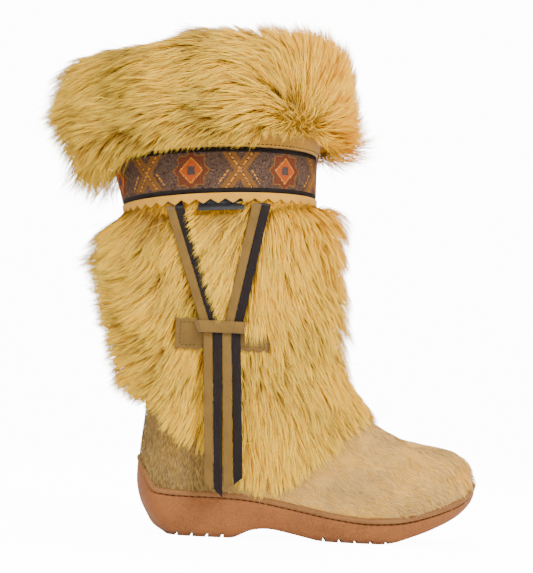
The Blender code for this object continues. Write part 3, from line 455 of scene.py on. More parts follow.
def drop_faces(data, low):
    """Deletes the faces whose corners all lie below the height that low gives for an x."""
    gone = [f for f in data.faces if all(v.co.z < float(low(v.co.x)) for v in f.verts)]
    bmesh.ops.delete(data, geom=gone, context="FACES")
    bmesh.ops.delete(data, geom=[v for v in data.verts if not v.link_faces], context="VERTS")


def finish_mesh(name, data, materials):
    """Turns a bmesh into a piece that rides on the boot."""
    bmesh.ops.recalc_face_normals(data, faces=data.faces)
    return settle(name, drawn(name, data), materials)


def placed(name, data):
    """Object of a mesh, light or camera in the scene."""
    made = bpy.data.objects.new(name, data)
    bpy.context.scene.collection.objects.link(made)
    return made


def settle(name, mesh, materials):
    for material in materials:
        mesh.materials.append(material)
    mesh.shade_smooth()
    piece = placed(name, mesh)
    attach(piece, "root")
    return piece


def bake_modifiers(piece):
    graph = bpy.context.evaluated_depsgraph_get()
    made = bpy.data.meshes.new_from_object(piece.evaluated_get(graph))
    piece.modifiers.clear()
    old = piece.data
    piece.data = made
    made.name = piece.name
    bpy.data.meshes.remove(old)


class Nodes:
    """Adds nodes to a material or group by short calls."""

    def __init__(self, tree):
        self.tree = tree

    def add(self, kind, **values):
        node = self.tree.nodes.new(kind)
        for key, value in values.items():
            setattr(node, key, value)
        return node

    def join(self, out, into):
        self.tree.links.new(out, into)

    def math(self, operation, first, second):
        node = self.add("ShaderNodeMath", operation=operation)
        for socket, value in zip(node.inputs, (first, second)):
            self.put(socket, value)
        return node.outputs[0]

    def put(self, socket, value):
        if hasattr(value, "links"):
            self.join(value, socket)
        else:
            socket.default_value = value

    def mix(self, factor, first, second, blend="MIX"):
        node = self.add("ShaderNodeMix", data_type="RGBA", blend_type=blend)
        self.put(node.inputs[0], factor)
        self.put(node.inputs[6], first)
        self.put(node.inputs[7], second)
        return node.outputs[2]

    def ramp(self, factor, stops):
        node = self.add("ShaderNodeValToRGB")
        ramp = node.color_ramp
        while len(ramp.elements) < len(stops):
            ramp.elements.new(0.5)
        for element, (place, colour) in zip(ramp.elements, stops):
            element.position = place
            element.color = colour
        self.join(factor, node.inputs[0])
        return node.outputs[0]

    def noise(self, vector, scale, detail=3.0, roughness=0.55):
        node = self.add("ShaderNodeTexNoise")
        self.join(vector, node.inputs["Vector"])
        node.inputs["Scale"].default_value = scale
        node.inputs["Detail"].default_value = detail
        node.inputs["Roughness"].default_value = roughness
        return node.outputs["Fac"]

    def fade(self, value, **ends):
        """Soft step of a value; the ends are given as from_min, to_max and so on."""
        node = self.add("ShaderNodeMapRange", interpolation_type="SMOOTHSTEP")
        self.join(value, node.inputs["Value"])
        for name, number in ends.items():
            node.inputs[name.replace("_", " ").title()].default_value = number
        return node.outputs["Result"]

    def stretch(self, vector, scale):
        node = self.add("ShaderNodeMapping")
        self.join(vector, node.inputs["Vector"])
        node.inputs["Scale"].default_value = scale
        return node.outputs["Vector"]


def grain_group():
    """Shared nap: a fine and a broad noise, as a tone from 0 to 1 and a height."""
    found = bpy.data.node_groups.get("leather_nap")
    if found:
        return found
    group = bpy.data.node_groups.new("leather_nap", "ShaderNodeTree")
    face = group.interface
    face.new_socket("Vector", in_out="INPUT", socket_type="NodeSocketVector")
    face.new_socket("Fine Scale", in_out="INPUT", socket_type="NodeSocketFloat")
    face.new_socket("Broad Scale", in_out="INPUT", socket_type="NodeSocketFloat")
    face.new_socket("Tone", in_out="OUTPUT", socket_type="NodeSocketFloat")
    face.new_socket("Height", in_out="OUTPUT", socket_type="NodeSocketFloat")
    nodes = Nodes(group)
    entry, leave = nodes.add("NodeGroupInput"), nodes.add("NodeGroupOutput")
    fine = nodes.add("ShaderNodeTexNoise")
    broad = nodes.add("ShaderNodeTexNoise")
    for node, scale in ((fine, "Fine Scale"), (broad, "Broad Scale")):
        nodes.join(entry.outputs["Vector"], node.inputs["Vector"])
        nodes.join(entry.outputs[scale], node.inputs["Scale"])
        node.inputs["Detail"].default_value = 4.0
    both = nodes.math("ADD", nodes.math("MULTIPLY", fine.outputs["Fac"], 0.45),
                      nodes.math("MULTIPLY", broad.outputs["Fac"], 0.55))
    nodes.join(both, leave.inputs["Tone"])
    nodes.join(fine.outputs["Fac"], leave.inputs["Height"])
    return group


def new_material(name, roughness, specular=0.5):
    material = bpy.data.materials.new(name)
    material.use_nodes = True
    shader = material.node_tree.nodes["Principled BSDF"]
    shader.inputs["Roughness"].default_value = roughness
    shader.inputs["Specular IOR Level"].default_value = specular
    return material, Nodes(material.node_tree), shader


def bump(nodes, shader, height, distance, strength=1.0):
    node = nodes.add("ShaderNodeBump")
    nodes.join(height, node.inputs["Height"])
    node.inputs["Distance"].default_value = distance
    node.inputs["Strength"].default_value = strength
    nodes.join(node.outputs["Normal"], shader.inputs["Normal"])


def object_place(nodes):
    return nodes.add("ShaderNodeTexCoord").outputs["Object"]


def shade(colour, factor):
    return (*[value * factor for value in colour[:3]], 1.0)


def napped(name, colour, roughness, fine=900.0, broad=60.0, dark=0.62, light=1.28, depth=0.0004,
           sheen=0.0):
    """Leather, suede or felt in one colour with a nap."""
    material, nodes, shader = new_material(name, roughness, 0.15)
    nap = nodes.add("ShaderNodeGroup", node_tree=grain_group())
    nodes.join(object_place(nodes), nap.inputs["Vector"])
    nap.inputs["Fine Scale"].default_value = fine
    nap.inputs["Broad Scale"].default_value = broad
    tones = nodes.ramp(nap.outputs["Tone"], [(0.3, shade(colour, dark)), (0.52, tuple(colour)),
                                            (0.72, shade(colour, light))])
    nodes.join(tones, shader.inputs["Base Color"])
    bump(nodes, shader, nap.outputs["Height"], depth)
    if sheen:
        shader.inputs["Sheen Weight"].default_value = sheen
        shader.inputs["Sheen Roughness"].default_value = 0.5
    return material


def hair_material(name, stops, root, tip, root_reach=0.50, tip_reach=0.55, roughness=0.48):
    """Hair coloured by its own map: u is the tone of the lock, v runs from root to tip."""
    material, nodes, shader = new_material(name, roughness, 0.05)
    uv = nodes.add("ShaderNodeUVMap", uv_map="OFBake")
    split = nodes.add("ShaderNodeSeparateXYZ")
    nodes.join(uv.outputs["UV"], split.inputs[0])
    tone = nodes.ramp(split.outputs["X"], stops)
    # The colour fades to the root colour over the lower half of each hair and to the tip colour near its
    # end: brown roots and pale tips, with painted shade low in the fur and a painted highlight at the
    # tips.
    fall = nodes.fade(split.outputs["Y"], from_max=root_reach, to_min=0.95, to_max=0.0)
    rise = nodes.fade(split.outputs["Y"], from_min=tip_reach, to_max=0.6)
    nodes.join(nodes.mix(rise, nodes.mix(fall, tone, root), tip), shader.inputs["Base Color"])
    return material


def scatter(surface, place_range, angle_range, count, chance, cells=(90, 150)):
    """Random places and angles spread evenly over a surface's area."""
    places = np.linspace(*place_range, cells[0] + 1)
    angles = np.linspace(*angle_range, cells[1] + 1)
    grid = surface(*np.meshgrid(places, angles, indexing="ij"))
    first, second = grid[1:, :-1] - grid[:-1, :-1], grid[:-1, 1:] - grid[:-1, :-1]
    area = np.linalg.norm(np.cross(first, second), axis=-1)
    chosen = chance.choice(area.size, size=count, p=(area / area.sum()).ravel())
    row, col = np.unravel_index(chosen, area.shape)
    place = places[row] + (places[1] - places[0]) * chance.random(count)
    angle = angles[col] + (angles[1] - angles[0]) * chance.random(count)
    return place, angle


def wave(points, size, seed):
    """Soft noise of -1 to 1 over points, from a few sine waves."""
    chance = np.random.default_rng(seed)
    total = np.zeros(points.shape[:-1])
    for _ in range(6):
        direction = chance.normal(size=3)
        direction /= np.linalg.norm(direction)
        total += np.sin(points @ direction * (2 * math.pi / size) * chance.uniform(0.7, 1.4)
                        + chance.uniform(0, 2 * math.pi))
    return total / 3.2


Fur = namedtuple("Fur", "root normal flow rise length tone")


def strand_points(fur, steps):
    """Each hair leaves the skin along its lift and bends over into its flow."""
    start = np.clip(2 * fur.rise / fur.length - 0.05, 0.12, 0.96)[:, None]
    flow = unit(fur.flow - fur.normal * np.sum(fur.flow * fur.normal, axis=1, keepdims=True) * 0.7)
    first = unit(flow * np.sqrt(1 - start ** 2) + fur.normal * start)
    last = unit(flow + fur.normal * 0.04)
    t = np.linspace(0, 1, steps)[None, :, None]
    way = first[:, None] * (t - t ** 2 / 2) + last[:, None] * t ** 2 / 2
    return fur.root[:, None] + way * fur.length[:, None, None]


def gather_locks(strands, every, strength, chance):
    """Draws the ends of neighbouring hairs together into locks."""
    count, steps = strands.shape[:2]
    guides = chance.choice(count, size=max(count // every, 1), replace=False)
    tree = KDTree(len(guides))
    middle = strands[:, steps // 2]
    for number, guide in enumerate(guides):
        tree.insert(middle[guide], number)
    tree.balance()
    near = np.array([tree.find(point)[1] for point in middle])
    leader = strands[guides[near]]
    t = np.linspace(0, 1, steps)[None, :, None]
    pull = strength * t ** 1.3 * chance.uniform(0.6, 1.1, count)[:, None, None]
    return strands + (leader - strands) * np.clip(pull, 0, 0.97)


def hair_mesh(name, strands, normals, tone, width, chance):
    """Flat tapering ribbons along the strands, as one mesh with the hair's own map."""
    count, steps = strands.shape[:2]
    along = unit(np.gradient(strands, axis=1))
    across = unit(np.cross(along, normals[:, None]))
    twist = chance.normal(0.0, 0.55, count)[:, None, None]
    face = np.cross(across, along)
    across = across * np.cos(twist) + face * np.sin(twist)
    t = np.linspace(0, 1, steps)
    taper = np.interp(t, [0, 0.3, 0.7, 1], [0.85, 1.0, 0.72, 0.0])[None, :, None]
    half = width[:, None, None] / 2 * taper
    left, right = strands - across * half, strands + across * half
    points = np.concatenate([np.stack([left[:, :-1], right[:, :-1]], axis=2).reshape(count, -1, 3),
                             strands[:, -1:]], axis=1)
    per = points.shape[1]
    corners, starts, levels, sides = [], [], [], []
    for step in range(steps - 2):
        starts.append(len(corners))
        corners += [2 * step, 2 * step + 1, 2 * step + 3, 2 * step + 2]
        levels += [t[step], t[step], t[step + 1], t[step + 1]]
        sides += [-1, 1, 1, -1]
    starts.append(len(corners))
    corners += [per - 3, per - 2, per - 1]
    levels += [t[-2], t[-2], 1.0]
    sides += [-1, 1, 0]
    loops = np.array(corners)[None] + per * np.arange(count)[:, None]
    begins = np.array(starts)[None] + len(corners) * np.arange(count)[:, None]
    mesh = bpy.data.meshes.new(name)
    mesh.vertices.add(count * per)
    mesh.vertices.foreach_set("co", points.astype(np.float32).ravel())
    mesh.loops.add(loops.size)
    mesh.loops.foreach_set("vertex_index", loops.astype(np.int32).ravel())
    mesh.polygons.add(begins.size)
    mesh.polygons.foreach_set("loop_start", begins.astype(np.int32).ravel())
    mesh.update(calc_edges=True)
    uv = mesh.uv_layers.new(name="OFBake")
    tone = np.clip(tone, 0.0, 1.0) * 0.98 + 0.01
    u = tone[:, None] + 0.004 * np.array(sides)[None]
    v = np.broadcast_to(0.01 + 0.98 * np.array(levels)[None], u.shape)
    uv.data.foreach_set("uv", np.stack([u, v], axis=-1).astype(np.float32).ravel())
    mesh.validate()
    return mesh


def thong_line(index, z):
    """x of a thong's middle line at a height."""
    row = THONGS[index]
    top = THONG_TOP_Z + THONG_TOP_SLOPE * row.top_x
    share = np.clip((top - z) / (top - KEEPER_LOW_Z), 0.0, 1.0)
    hang = np.clip((KEEPER_LOW_Z - z) / (KEEPER_LOW_Z - THONG_END_Z), 0.0, 1.0)
    return row.top_x + (row.keeper_x - row.top_x) * share + (row.end_x - row.keeper_x) * hang


class Straps:
    """Where the thongs, keeper and patch cover the lateral side, seen along y."""

    def __init__(self):
        names = [row.name for row in THONGS] + ["keeper_patch", "label_tab", "keeper_strap"]
        trees = []
        for name in names:
            trees.append(traced(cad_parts[name].data))
        width, height = STRAP_GRID_CELLS
        self.outer = np.full((width, height), np.nan)
        self.inner = np.full((width, height), np.nan)
        for i in range(width):
            for j in range(height):
                x, z = STRAP_GRID_LOW[0] + i * STRAP_GRID, STRAP_GRID_LOW[1] + j * STRAP_GRID
                for tree in trees:
                    near = tree.ray_cast(Vector((x, BEYOND_BOOT_Y, z)), Vector((0, 1, 0)))[0]
                    if near is None:
                        continue
                    far = tree.ray_cast(Vector((x, 0.0, z)), Vector((0, -1, 0)))[0]
                    deep = far.y if far is not None else near.y
                    self.outer[i, j] = np.nanmin([self.outer[i, j], near.y])
                    self.inner[i, j] = np.nanmax([self.inner[i, j], deep])
        self.pressed = np.fmax.reduce(self.shifted(self.inner, 2))
        self.raised = np.fmin.reduce(self.shifted(self.outer, 3))

    def shifted(self, grid, reach):
        steps = range(-reach, reach + 1)
        return [np.roll(grid, (i, j), (0, 1)) for i in steps for j in steps]

    def look(self, points):
        i = np.round((points[..., 0] - STRAP_GRID_LOW[0]) / STRAP_GRID).astype(int)
        j = np.round((points[..., 2] - STRAP_GRID_LOW[1]) / STRAP_GRID).astype(int)
        inside = (i >= 0) & (j >= 0) & (i < self.outer.shape[0]) & (j < self.outer.shape[1])
        inside &= points[..., 1] < 0
        i, j = np.where(inside, i, 0), np.where(inside, j, 0)
        return [np.where(inside, grid[i, j], np.nan) for grid in (self.outer, self.pressed, self.raised)]


def resample(strands, end, steps):
    """Strands cut at a share of their length, in an even number of steps."""
    t = np.linspace(0, 1, steps)[None] * end[:, None] * (strands.shape[1] - 1)
    low = np.minimum(t.astype(int), strands.shape[1] - 2)
    part = (t - low)[..., None]
    rows = np.arange(len(strands))[:, None]
    return strands[rows, low] * (1 - part) + strands[rows, low + 1] * part


def trim(strands, allowed, spare=0.04):
    """Cuts each hair where it first leaves the allowed space."""
    fine = resample(strands, np.ones(len(strands)), 15)
    ok = allowed(fine)
    leaves = ok[:, :-1] & ~ok[:, 1:]
    first = np.where(leaves.any(axis=1), leaves.argmax(axis=1) + 1, 14) / 14
    return resample(strands, np.clip(first + spare, 0.12, 1.0), strands.shape[1])


def tuck(strands, straps, over):
    """Hair ends under a strap that it meets and is pressed down beside it, or laps it."""
    hidden = trim(strands, lambda points: np.isnan(straps.look(points)[0]))
    strands = np.where(over[:, None, None], strands, hidden)
    outer, pressed, raised = straps.look(strands)
    y = strands[..., 1]
    level = np.where(np.isnan(outer[:, :1]), pressed, np.fmax(pressed, pressed[:, :1]))
    under = np.maximum(y, np.nan_to_num(level, nan=-1.0) + 0.0004)
    above = np.minimum(y, np.nan_to_num(raised, nan=1.0) - 0.0005)
    above[:, 0] = y[:, 0]
    strands[..., 1] = np.where(over[:, None], above, under)
    return strands


def shaft_flow(points):
    """The way the shaft's hair lies, as in the photograph."""
    x, y, z = points[:, 0], points[:, 1], points[:, 2]
    rear, front = thong_line(0, z), thong_line(3, z)
    behind = np.clip((rear - x) / 0.060, 0, 1)
    ahead = np.clip((x - front) / 0.055, 0, 1)
    low = ease(0.170, 0.140, z)
    flow_x = np.where(x < rear, -0.15 - 0.95 * behind - 0.25 * low * behind, 0.02 + 0.42 * ahead)
    flow_z = np.where(x < rear, -1.0 + 0.62 * behind - 0.2 * low, -1.0)
    level = np.exp(-((z - 0.196) / 0.020) ** 2) * behind * (y < 0)
    flow_x, flow_z = flow_x - 0.35 * level, flow_z + 0.50 * level
    within = (x >= rear) & (x <= front) & (z > KEEPER_HIGH_Z) & (y < 0)
    flow_x = np.where(within, -0.55, flow_x)
    flow_z = np.where(within, -0.85, flow_z)
    sway = wave(points, 0.035, 5)
    flow_x = flow_x + 0.22 * sway
    flow_y = 0.06 * wave(points, 0.03, 6)
    return unit(np.stack([flow_x, flow_y, flow_z], axis=-1))


def cuff_flow(points):
    """The cuff's hair parts low at the front, sweeping back on one side and up on the other."""
    x, z = points[:, 0] - PARTING_FLOW[0], points[:, 2] - PARTING_FLOW[1]
    reach = np.hypot(x, z)[:, None]
    radial = np.stack([x, np.zeros_like(x), z], axis=-1) / np.maximum(reach, 1e-6)
    turn = ease(-0.040, 0.028, x)[:, None]
    back = np.stack([np.full_like(x, -0.93), np.zeros_like(x),
                     -0.38 - 0.60 * ease(0.335, 0.300, points[:, 2])], axis=-1)
    front = np.stack([np.full_like(x, 0.42), np.zeros_like(x), np.clip(z / 0.022, -0.9, 0.9)], axis=-1)
    flow = radial * 1.3 * np.exp(-reach / 0.042) + back * (1 - turn) + front * turn
    flow[:, 2] += 0.30 * wave(points, 0.045, 8)
    flow[:, 0] += 0.12 * wave(points, 0.030, 9)
    flow[:, 1] += 0.10 * wave(points, 0.030, 10)
    return unit(flow)


def stray(flow, chance):
    """Every hair leaves its flow a little, and one in ten leaves it a lot."""
    wild = np.where(chance.random(len(flow)) < 0.10, 0.34, 0.13)[:, None]
    return unit(flow + wild * chance.normal(size=flow.shape))


def grow(name, fur, steps, width, clumps, material, seed, allowed=None, straps=None,
         over=None):
    """Builds one piece of hair from its roots and flow."""
    chance = np.random.default_rng(seed)
    strands = strand_points(fur, steps)
    t = np.linspace(0, 1, steps)[None, :]
    for axis in range(3):
        bend = wave(fur.root, 0.012, seed + axis)[:, None] * np.sin(t * 2.6)
        strands[..., axis] += bend * 0.0011 * (fur.length / 0.03)[:, None]
    loose = chance.random(len(fur.root)) < LOOSE_SHARE
    free = strands[loose]
    for every, strength in clumps:
        strands = gather_locks(strands, every, strength, chance)
    strands[loose] = free
    if allowed is not None:
        strands = trim(strands, allowed)
    if straps is not None:
        strands = tuck(strands, straps, over)
    strands[..., 2] = np.maximum(strands[..., 2], 0.004)
    widths = width * chance.uniform(0.7, 1.25, len(fur.root))
    mesh = hair_mesh(name, strands, fur.normal, fur.tone, widths, chance)
    return settle(name, mesh, [material])


def colours():
    return bpy.context.scene.boot_colours


def sizes():
    return bpy.context.scene.boot_sizes


def shared(make):
    """A look that several pieces use is made once."""
    name = make.__name__.replace("_look", "")
    return lambda: bpy.data.materials.get(name) or make()


@shared
def long_hair_look():
    c = colours()
    stops = [(0.0, shade(c.root, 1.1)), (0.15, shade(c.sand, 0.85)), (0.32, shade(c.sand, 1.2)),
             (0.50, tuple(c.straw)), (0.64, shade(c.cream, 0.92)), (0.78, shade(c.amber, 1.2)),
             (1.0, tuple(c.amber))]
    return hair_material("long_hair", stops, tuple(c.root), tuple(c.cream))


@shared
def undercoat_look():
    c = colours()
    material, nodes, shader = new_material("undercoat", 0.9, 0.1)
    fibres = nodes.noise(nodes.stretch(object_place(nodes), (1.0, 1.0, 0.22)), 900.0)
    nodes.join(nodes.ramp(fibres, [(0.3, shade(c.root, 0.85)), (0.7, shade(c.straw, 0.75))]),
               shader.inputs["Base Color"])
    bump(nodes, shader, fibres, 0.0012)
    return material


class BootStage(bpy.types.Operator):
    """Pale floor, soft studio light and the photograph's camera"""

    bl_idname = "boot.stage"
    bl_label = "Stage"

    def execute(self, context):
        self.make_floor()
        self.make_lights()
        self.make_camera(context)
        return {"FINISHED"}

    def make_floor(self):
        data = bmesh.new()
        line = [data.verts.new((radius, 0, height)) for radius, height in FLOOR_PROFILE]
        edges = [data.edges.new(pair) for pair in zip(line, line[1:])]
        bmesh.ops.spin(data, geom=line + edges, cent=(0, 0, 0), axis=(0, 0, 1), angle=2 * math.pi,
                       steps=96, use_merge=True)
        bmesh.ops.remove_doubles(data, verts=data.verts, dist=1e-6)
        bmesh.ops.recalc_face_normals(data, faces=data.faces)
        mesh = drawn("floor", data)
        material, nodes, shader = new_material("floor", 0.9, 0.1)
        place = object_place(nodes)
        tone = nodes.noise(place, 3.0)
        nodes.join(nodes.ramp(tone, [(0.3, (0.90, 0.90, 0.90, 1)), (0.7, (0.93, 0.93, 0.93, 1))]),
                   shader.inputs["Base Color"])
        shader.inputs["Emission Color"].default_value = (1, 1, 1, 1)
        seen = nodes.add("ShaderNodeLightPath").outputs["Is Camera Ray"]
        glow = nodes.math("ADD", nodes.math("MULTIPLY", seen, FLOOR_GLOW_SEEN), FLOOR_GLOW)
        nodes.join(glow, shader.inputs["Emission Strength"])
        mesh.materials.append(material)
        mesh.shade_smooth()
        floor = placed("floor", mesh)

    def make_lights(self):
        world = bpy.data.worlds.new("studio")
        bpy.context.scene.world = world
        world.use_nodes = True
        background = world.node_tree.nodes["Background"]
        background.inputs["Color"].default_value = (1, 1, 1, 1)
        background.inputs["Strength"].default_value = WORLD_STRENGTH
        for row in LIGHTS:
            light = bpy.data.lights.new(row.name, "AREA")
            light.shape = "DISK"
            light.size = row.size
            light.energy = row.power
            lamp = placed(row.name, light)
            lamp.location = row.place
            way = Vector(LIGHT_TARGET) - Vector(row.place)
            lamp.rotation_euler = way.to_track_quat("-Z", "Y").to_euler()

    def make_camera(self, context):
        made = bpy.data.cameras.new("photo_view")
        made.sensor_fit = "VERTICAL"
        made.sensor_height = SENSOR_HEIGHT
        made.lens = CAMERA_LENS
        made.clip_start = 0.01
        made.clip_end = 50.0
        camera = placed("photo_view", made)
        sin_p, cos_p = math.sin(CAMERA_PITCH), math.cos(CAMERA_PITCH)
        sin_r, cos_r = math.sin(CAMERA_ROLL), math.cos(CAMERA_ROLL)
        ahead, up = Vector((0, cos_p, sin_p)), Vector((0, -sin_p, cos_p))
        right = Vector((cos_r, 0, 0)) - up * sin_r
        rise = Vector((sin_r, 0, 0)) + up * cos_r
        turn = Matrix((right, rise, -ahead)).transposed().to_4x4()
        camera.matrix_world = Matrix.Translation(CAMERA_PLACE) @ turn
        context.scene.camera = camera


class BootShell(bpy.types.Operator):
    """Hide shell of the foot and shaft with its lining"""

    bl_idname = "boot.shell"
    bl_label = "Hide shell"

    def execute(self, context):
        stations = np.concatenate([np.linspace(0, 0.12, 26)[:-1], np.linspace(0.12, COLLAR, 90)])
        angles = np.linspace(0, 2 * math.pi, 96, endpoint=False)
        rows = last_point(*np.meshgrid(stations, angles, indexing="ij"))
        floor = side_height("bed", length_share(rows[..., 0])) + GAP
        rows[..., 2] = np.maximum(rows[..., 2], floor)
        toe = rows[0].mean(axis=0)
        rows = np.concatenate([np.broadcast_to(toe, rows[:1].shape), rows])
        data = skin(rows)
        drop_faces(data, lambda x: side_height("bed", length_share(x)) + GAP + 1e-5)
        c = colours()
        piece = finish_mesh("hide_shell", data, [self.hide(c), self.lining(c)])
        wall = piece.modifiers.new("wall", "SOLIDIFY")
        wall.thickness = WALL
        wall.offset = -1
        wall.use_even_offset = True
        wall.material_offset = 1
        bake_modifiers(piece)
        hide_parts("upper")
        return {"FINISHED"}

    def hide(self, c):
        material, nodes, shader = new_material("short_hair_hide", 0.75, 0.3)
        place = object_place(nodes)
        fibres = nodes.noise(nodes.stretch(place, (0.35, 1.0, 1.0)), 1400.0, 4.0)
        cloud = nodes.noise(place, 28.0, 3.0)
        tone = nodes.ramp(fibres, [(0.3, shade(c.khaki, 0.50)), (0.55, shade(c.khaki, 0.80)),
                                  (0.75, shade(c.khaki, 1.05))])
        nodes.join(nodes.mix(cloud, tone, shade(c.straw, 0.62), "MIX"), shader.inputs["Base Color"])
        bump(nodes, shader, fibres, 0.0005)
        return material

    def lining(self, c):
        return napped("fleece_lining", shade(c.sand, 0.85), 0.95, 420.0, 40.0, 0.55, 1.25, 0.0012, 0.3)


class BootSole(bpy.types.Operator):
    """Crepe cup sole with its lip, groove, stitches and tread"""

    bl_idname = "boot.sole"
    bl_label = "Sole"

    columns = 180

    def execute(self, context):
        c = colours()
        rows = self.rows()
        data = skin(rows)
        piece = finish_mesh("gum_sole", data, [self.crepe(c), self.crepe(c, "lip")])
        for face in piece.data.polygons:
            x, _, z = face.center
            face.material_index = z > side_height("rim", length_share(x)) - SOLE_EDGE * 0.44
        self.cut_tread(piece)
        piece.data.shade_smooth()
        piece.data.set_sharp_from_angle(angle=math.radians(38))
        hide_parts("outsole")
        self.stitches(rows)
        return {"FINISHED"}

    def ring(self, heel, toe, side, height):
        turn = 2 * math.pi * np.arange(self.columns) / self.columns
        fold = np.minimum(turn, 2 * math.pi - turn)
        share = (1 - np.cos(fold)) / 2
        turns = [math.acos(1 - 2 * row.share) for row in SOLE_PLAN]
        lateral = BALL_WIDTH * smooth(turns, [row.lateral for row in SOLE_PLAN], fold)
        medial = BALL_WIDTH * smooth(turns, [row.medial for row in SOLE_PLAN], fold)
        half = (medial - lateral) / 2 * (1 - 2 * side / BALL_WIDTH)
        way = np.where(turn < math.pi, -1.0, 1.0)
        x = HEEL_BACK_X + heel + (SOLE_LENGTH - heel - toe) * share
        return np.stack([x, (lateral + medial) / 2 + way * half,
                         height(share, share + heel * (1 - share) / SOLE_LENGTH)], axis=-1)

    def rows(self):
        def wall(level):
            def height(share, run):
                low = side_height("bottom", run)
                top = side_height("rim", share) - SOLE_LIP[0].drop * SOLE_EDGE
                return low + level * (top - low)
            return height

        rows = []
        half = BALL_WIDTH / 2
        first = [SOLE_EDGE * value for value in SOLE_WALL[0][1:]]
        for part in (1.0, 0.66, 0.33):
            rows.append(self.ring(first[0], first[1], first[2] + (half - first[2]) * part, wall(0.0)))
        levels = np.linspace(0, len(SOLE_WALL) - 1, 19)
        keys = range(len(SOLE_WALL))
        for at in levels:
            values = [float(smooth(keys, [row[i] for row in SOLE_WALL], at)) for i in range(4)]
            rows.append(self.ring(*[SOLE_EDGE * v for v in values[1:]], wall(max(values[0], 0.0))))
        for row in SOLE_LIP:
            inset = SOLE_EDGE * row.inset
            rows.append(self.ring(inset, inset, inset,
                                  lambda s, run, d=row.drop: side_height("rim", s) - d * SOLE_EDGE))
        rim = rows[-1]
        meet = self.meet_shell(rim)
        rows.append(meet)
        inset = 0.006
        bed = self.ring(inset, inset, inset, lambda s, run: side_height("bed", s) - 0.0006)
        rows.append(bed)
        rows.append(self.ring(inset, inset, half, lambda s, run: side_height("bed", s) - 0.0006))
        return rows

    def meet_shell(self, rim):
        """Ring just inside the hide, where the lip's top meets it."""
        tree = traced(bpy.data.objects["hide_shell"].data)
        middle = rim.mean(axis=0)
        made = []
        for point in rim:
            start = Vector(point)
            centre = Vector((min(max(start.x, -0.02), 0.175), middle[1], start.z))
            way = (centre - start).normalized()
            hit = tree.ray_cast(start - way * 0.004, way, 0.03)[0]
            made.append(tuple(hit + way * 0.0008) if hit is not None else tuple(start + way * 0.004))
        return np.array(made)

    def cut_tread(self, piece):
        for share in HEEL_GROOVES + FOREFOOT_GROOVES:
            x = HEEL_BACK_X + share * SOLE_LENGTH
            low, high = x - GROOVE_WIDTH / 2, x + GROOVE_WIDTH / 2
            lift = GROOVE_DEPTH
            tops = [float(side_height("bottom", length_share(v))) + lift for v in (low, high)]
            data = bmesh.new()
            bmesh.ops.create_cube(data, size=1.0)
            for vert in data.verts:
                upper, ahead = vert.co.z > 0, vert.co.x > 0
                vert.co.z = tops[ahead] if upper else -lift
                vert.co.x = high if ahead else low
                vert.co.y *= 0.3
            cutter = placed("groove", drawn("groove", data))
            change = piece.modifiers.new("groove", "BOOLEAN")
            change.operation = "DIFFERENCE"
            change.solver = "EXACT"
            change.object = cutter
            bake_modifiers(piece)
            bpy.data.objects.remove(cutter)

    def stitches(self, rows):
        c = colours()
        groove = (rows[-12] + rows[-11]) / 2
        outward = groove - rows[-1]
        outward[:, 2] = 0
        sew("sole_stitches", groove, unit(outward), SOLE_STITCH,
            thread("sole_thread", shade(c.gum, 0.30)))

    def crepe(self, c, part="gum"):
        gum = getattr(c, part)
        material, nodes, shader = new_material("crepe_" + part, 0.66, 0.2)
        place = object_place(nodes)
        fine = nodes.noise(place, 700.0, 5.0, 0.65)
        cloud = nodes.noise(place, 45.0, 4.0)
        both = nodes.math("ADD", nodes.math("MULTIPLY", fine, 0.6), nodes.math("MULTIPLY", cloud, 0.4))
        tone = nodes.ramp(both, [(0.36, shade(gum, 0.70)), (0.5, tuple(gum)),
                                (0.64, shade(gum, 1.25))])
        split = nodes.add("ShaderNodeSeparateXYZ")
        nodes.join(place, split.inputs[0])
        # Painted shade: the crepe darkens over its lowest 6 mm, where it meets the floor.
        floor_shade = nodes.fade(split.outputs["Z"], from_min=0.0002, from_max=0.0060, to_min=0.55, to_max=0.0)
        nodes.join(nodes.mix(floor_shade, tone, shade(gum, 0.42)), shader.inputs["Base Color"])
        bump(nodes, shader, fine, 0.0005)
        return material


def thread(name, colour):
    return napped(name, colour, 0.7, 3000.0, 300.0, 0.7, 1.2, 0.0001)


def sew(name, line, outward, stitch, material):
    """A closed row of stitches along a line of points."""
    length, radius, pitch = stitch
    points = np.concatenate([line, line[:1]])
    outs = np.concatenate([outward, outward[:1]])
    steps = np.linalg.norm(np.diff(points, axis=0), axis=1)
    travel = np.concatenate([[0], np.cumsum(steps)])
    count = max(int(travel[-1] / pitch), 1)
    data = bmesh.new()
    for number in range(count):
        at = (number + 0.5) * travel[-1] / count
        middle = Vector([np.interp(at, travel, points[:, i]) for i in range(3)])
        ahead = Vector([np.interp(at + length / 2, travel, points[:, i]) for i in range(3)])
        out = Vector([np.interp(at, travel, outs[:, i]) for i in range(3)]).normalized()
        along = (ahead - middle).normalized()
        across = along.cross(out).normalized()
        out = across.cross(along)
        turn = Matrix((along, across, out)).transposed().to_4x4()
        size = Matrix.Diagonal((length / 2, radius, radius, 1.0))
        bmesh.ops.create_uvsphere(data, u_segments=8, v_segments=5, radius=1.0,
                                  matrix=Matrix.Translation(middle) @ turn @ size)
    return finish_mesh(name, data, [material])


class BootInsole(bpy.types.Operator):
    """Felt on the insole, which keeps its solid"""

    bl_idname = "boot.insole"
    bl_label = "Insole"

    def execute(self, context):
        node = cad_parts["insole"]
        felt = napped("insole_felt", shade(colours().sand, 0.8), 0.95, 500.0, 60.0, 0.6, 1.2, 0.0008, 0.3)
        for slot in node.material_slots:
            slot.material = felt
        return {"FINISHED"}


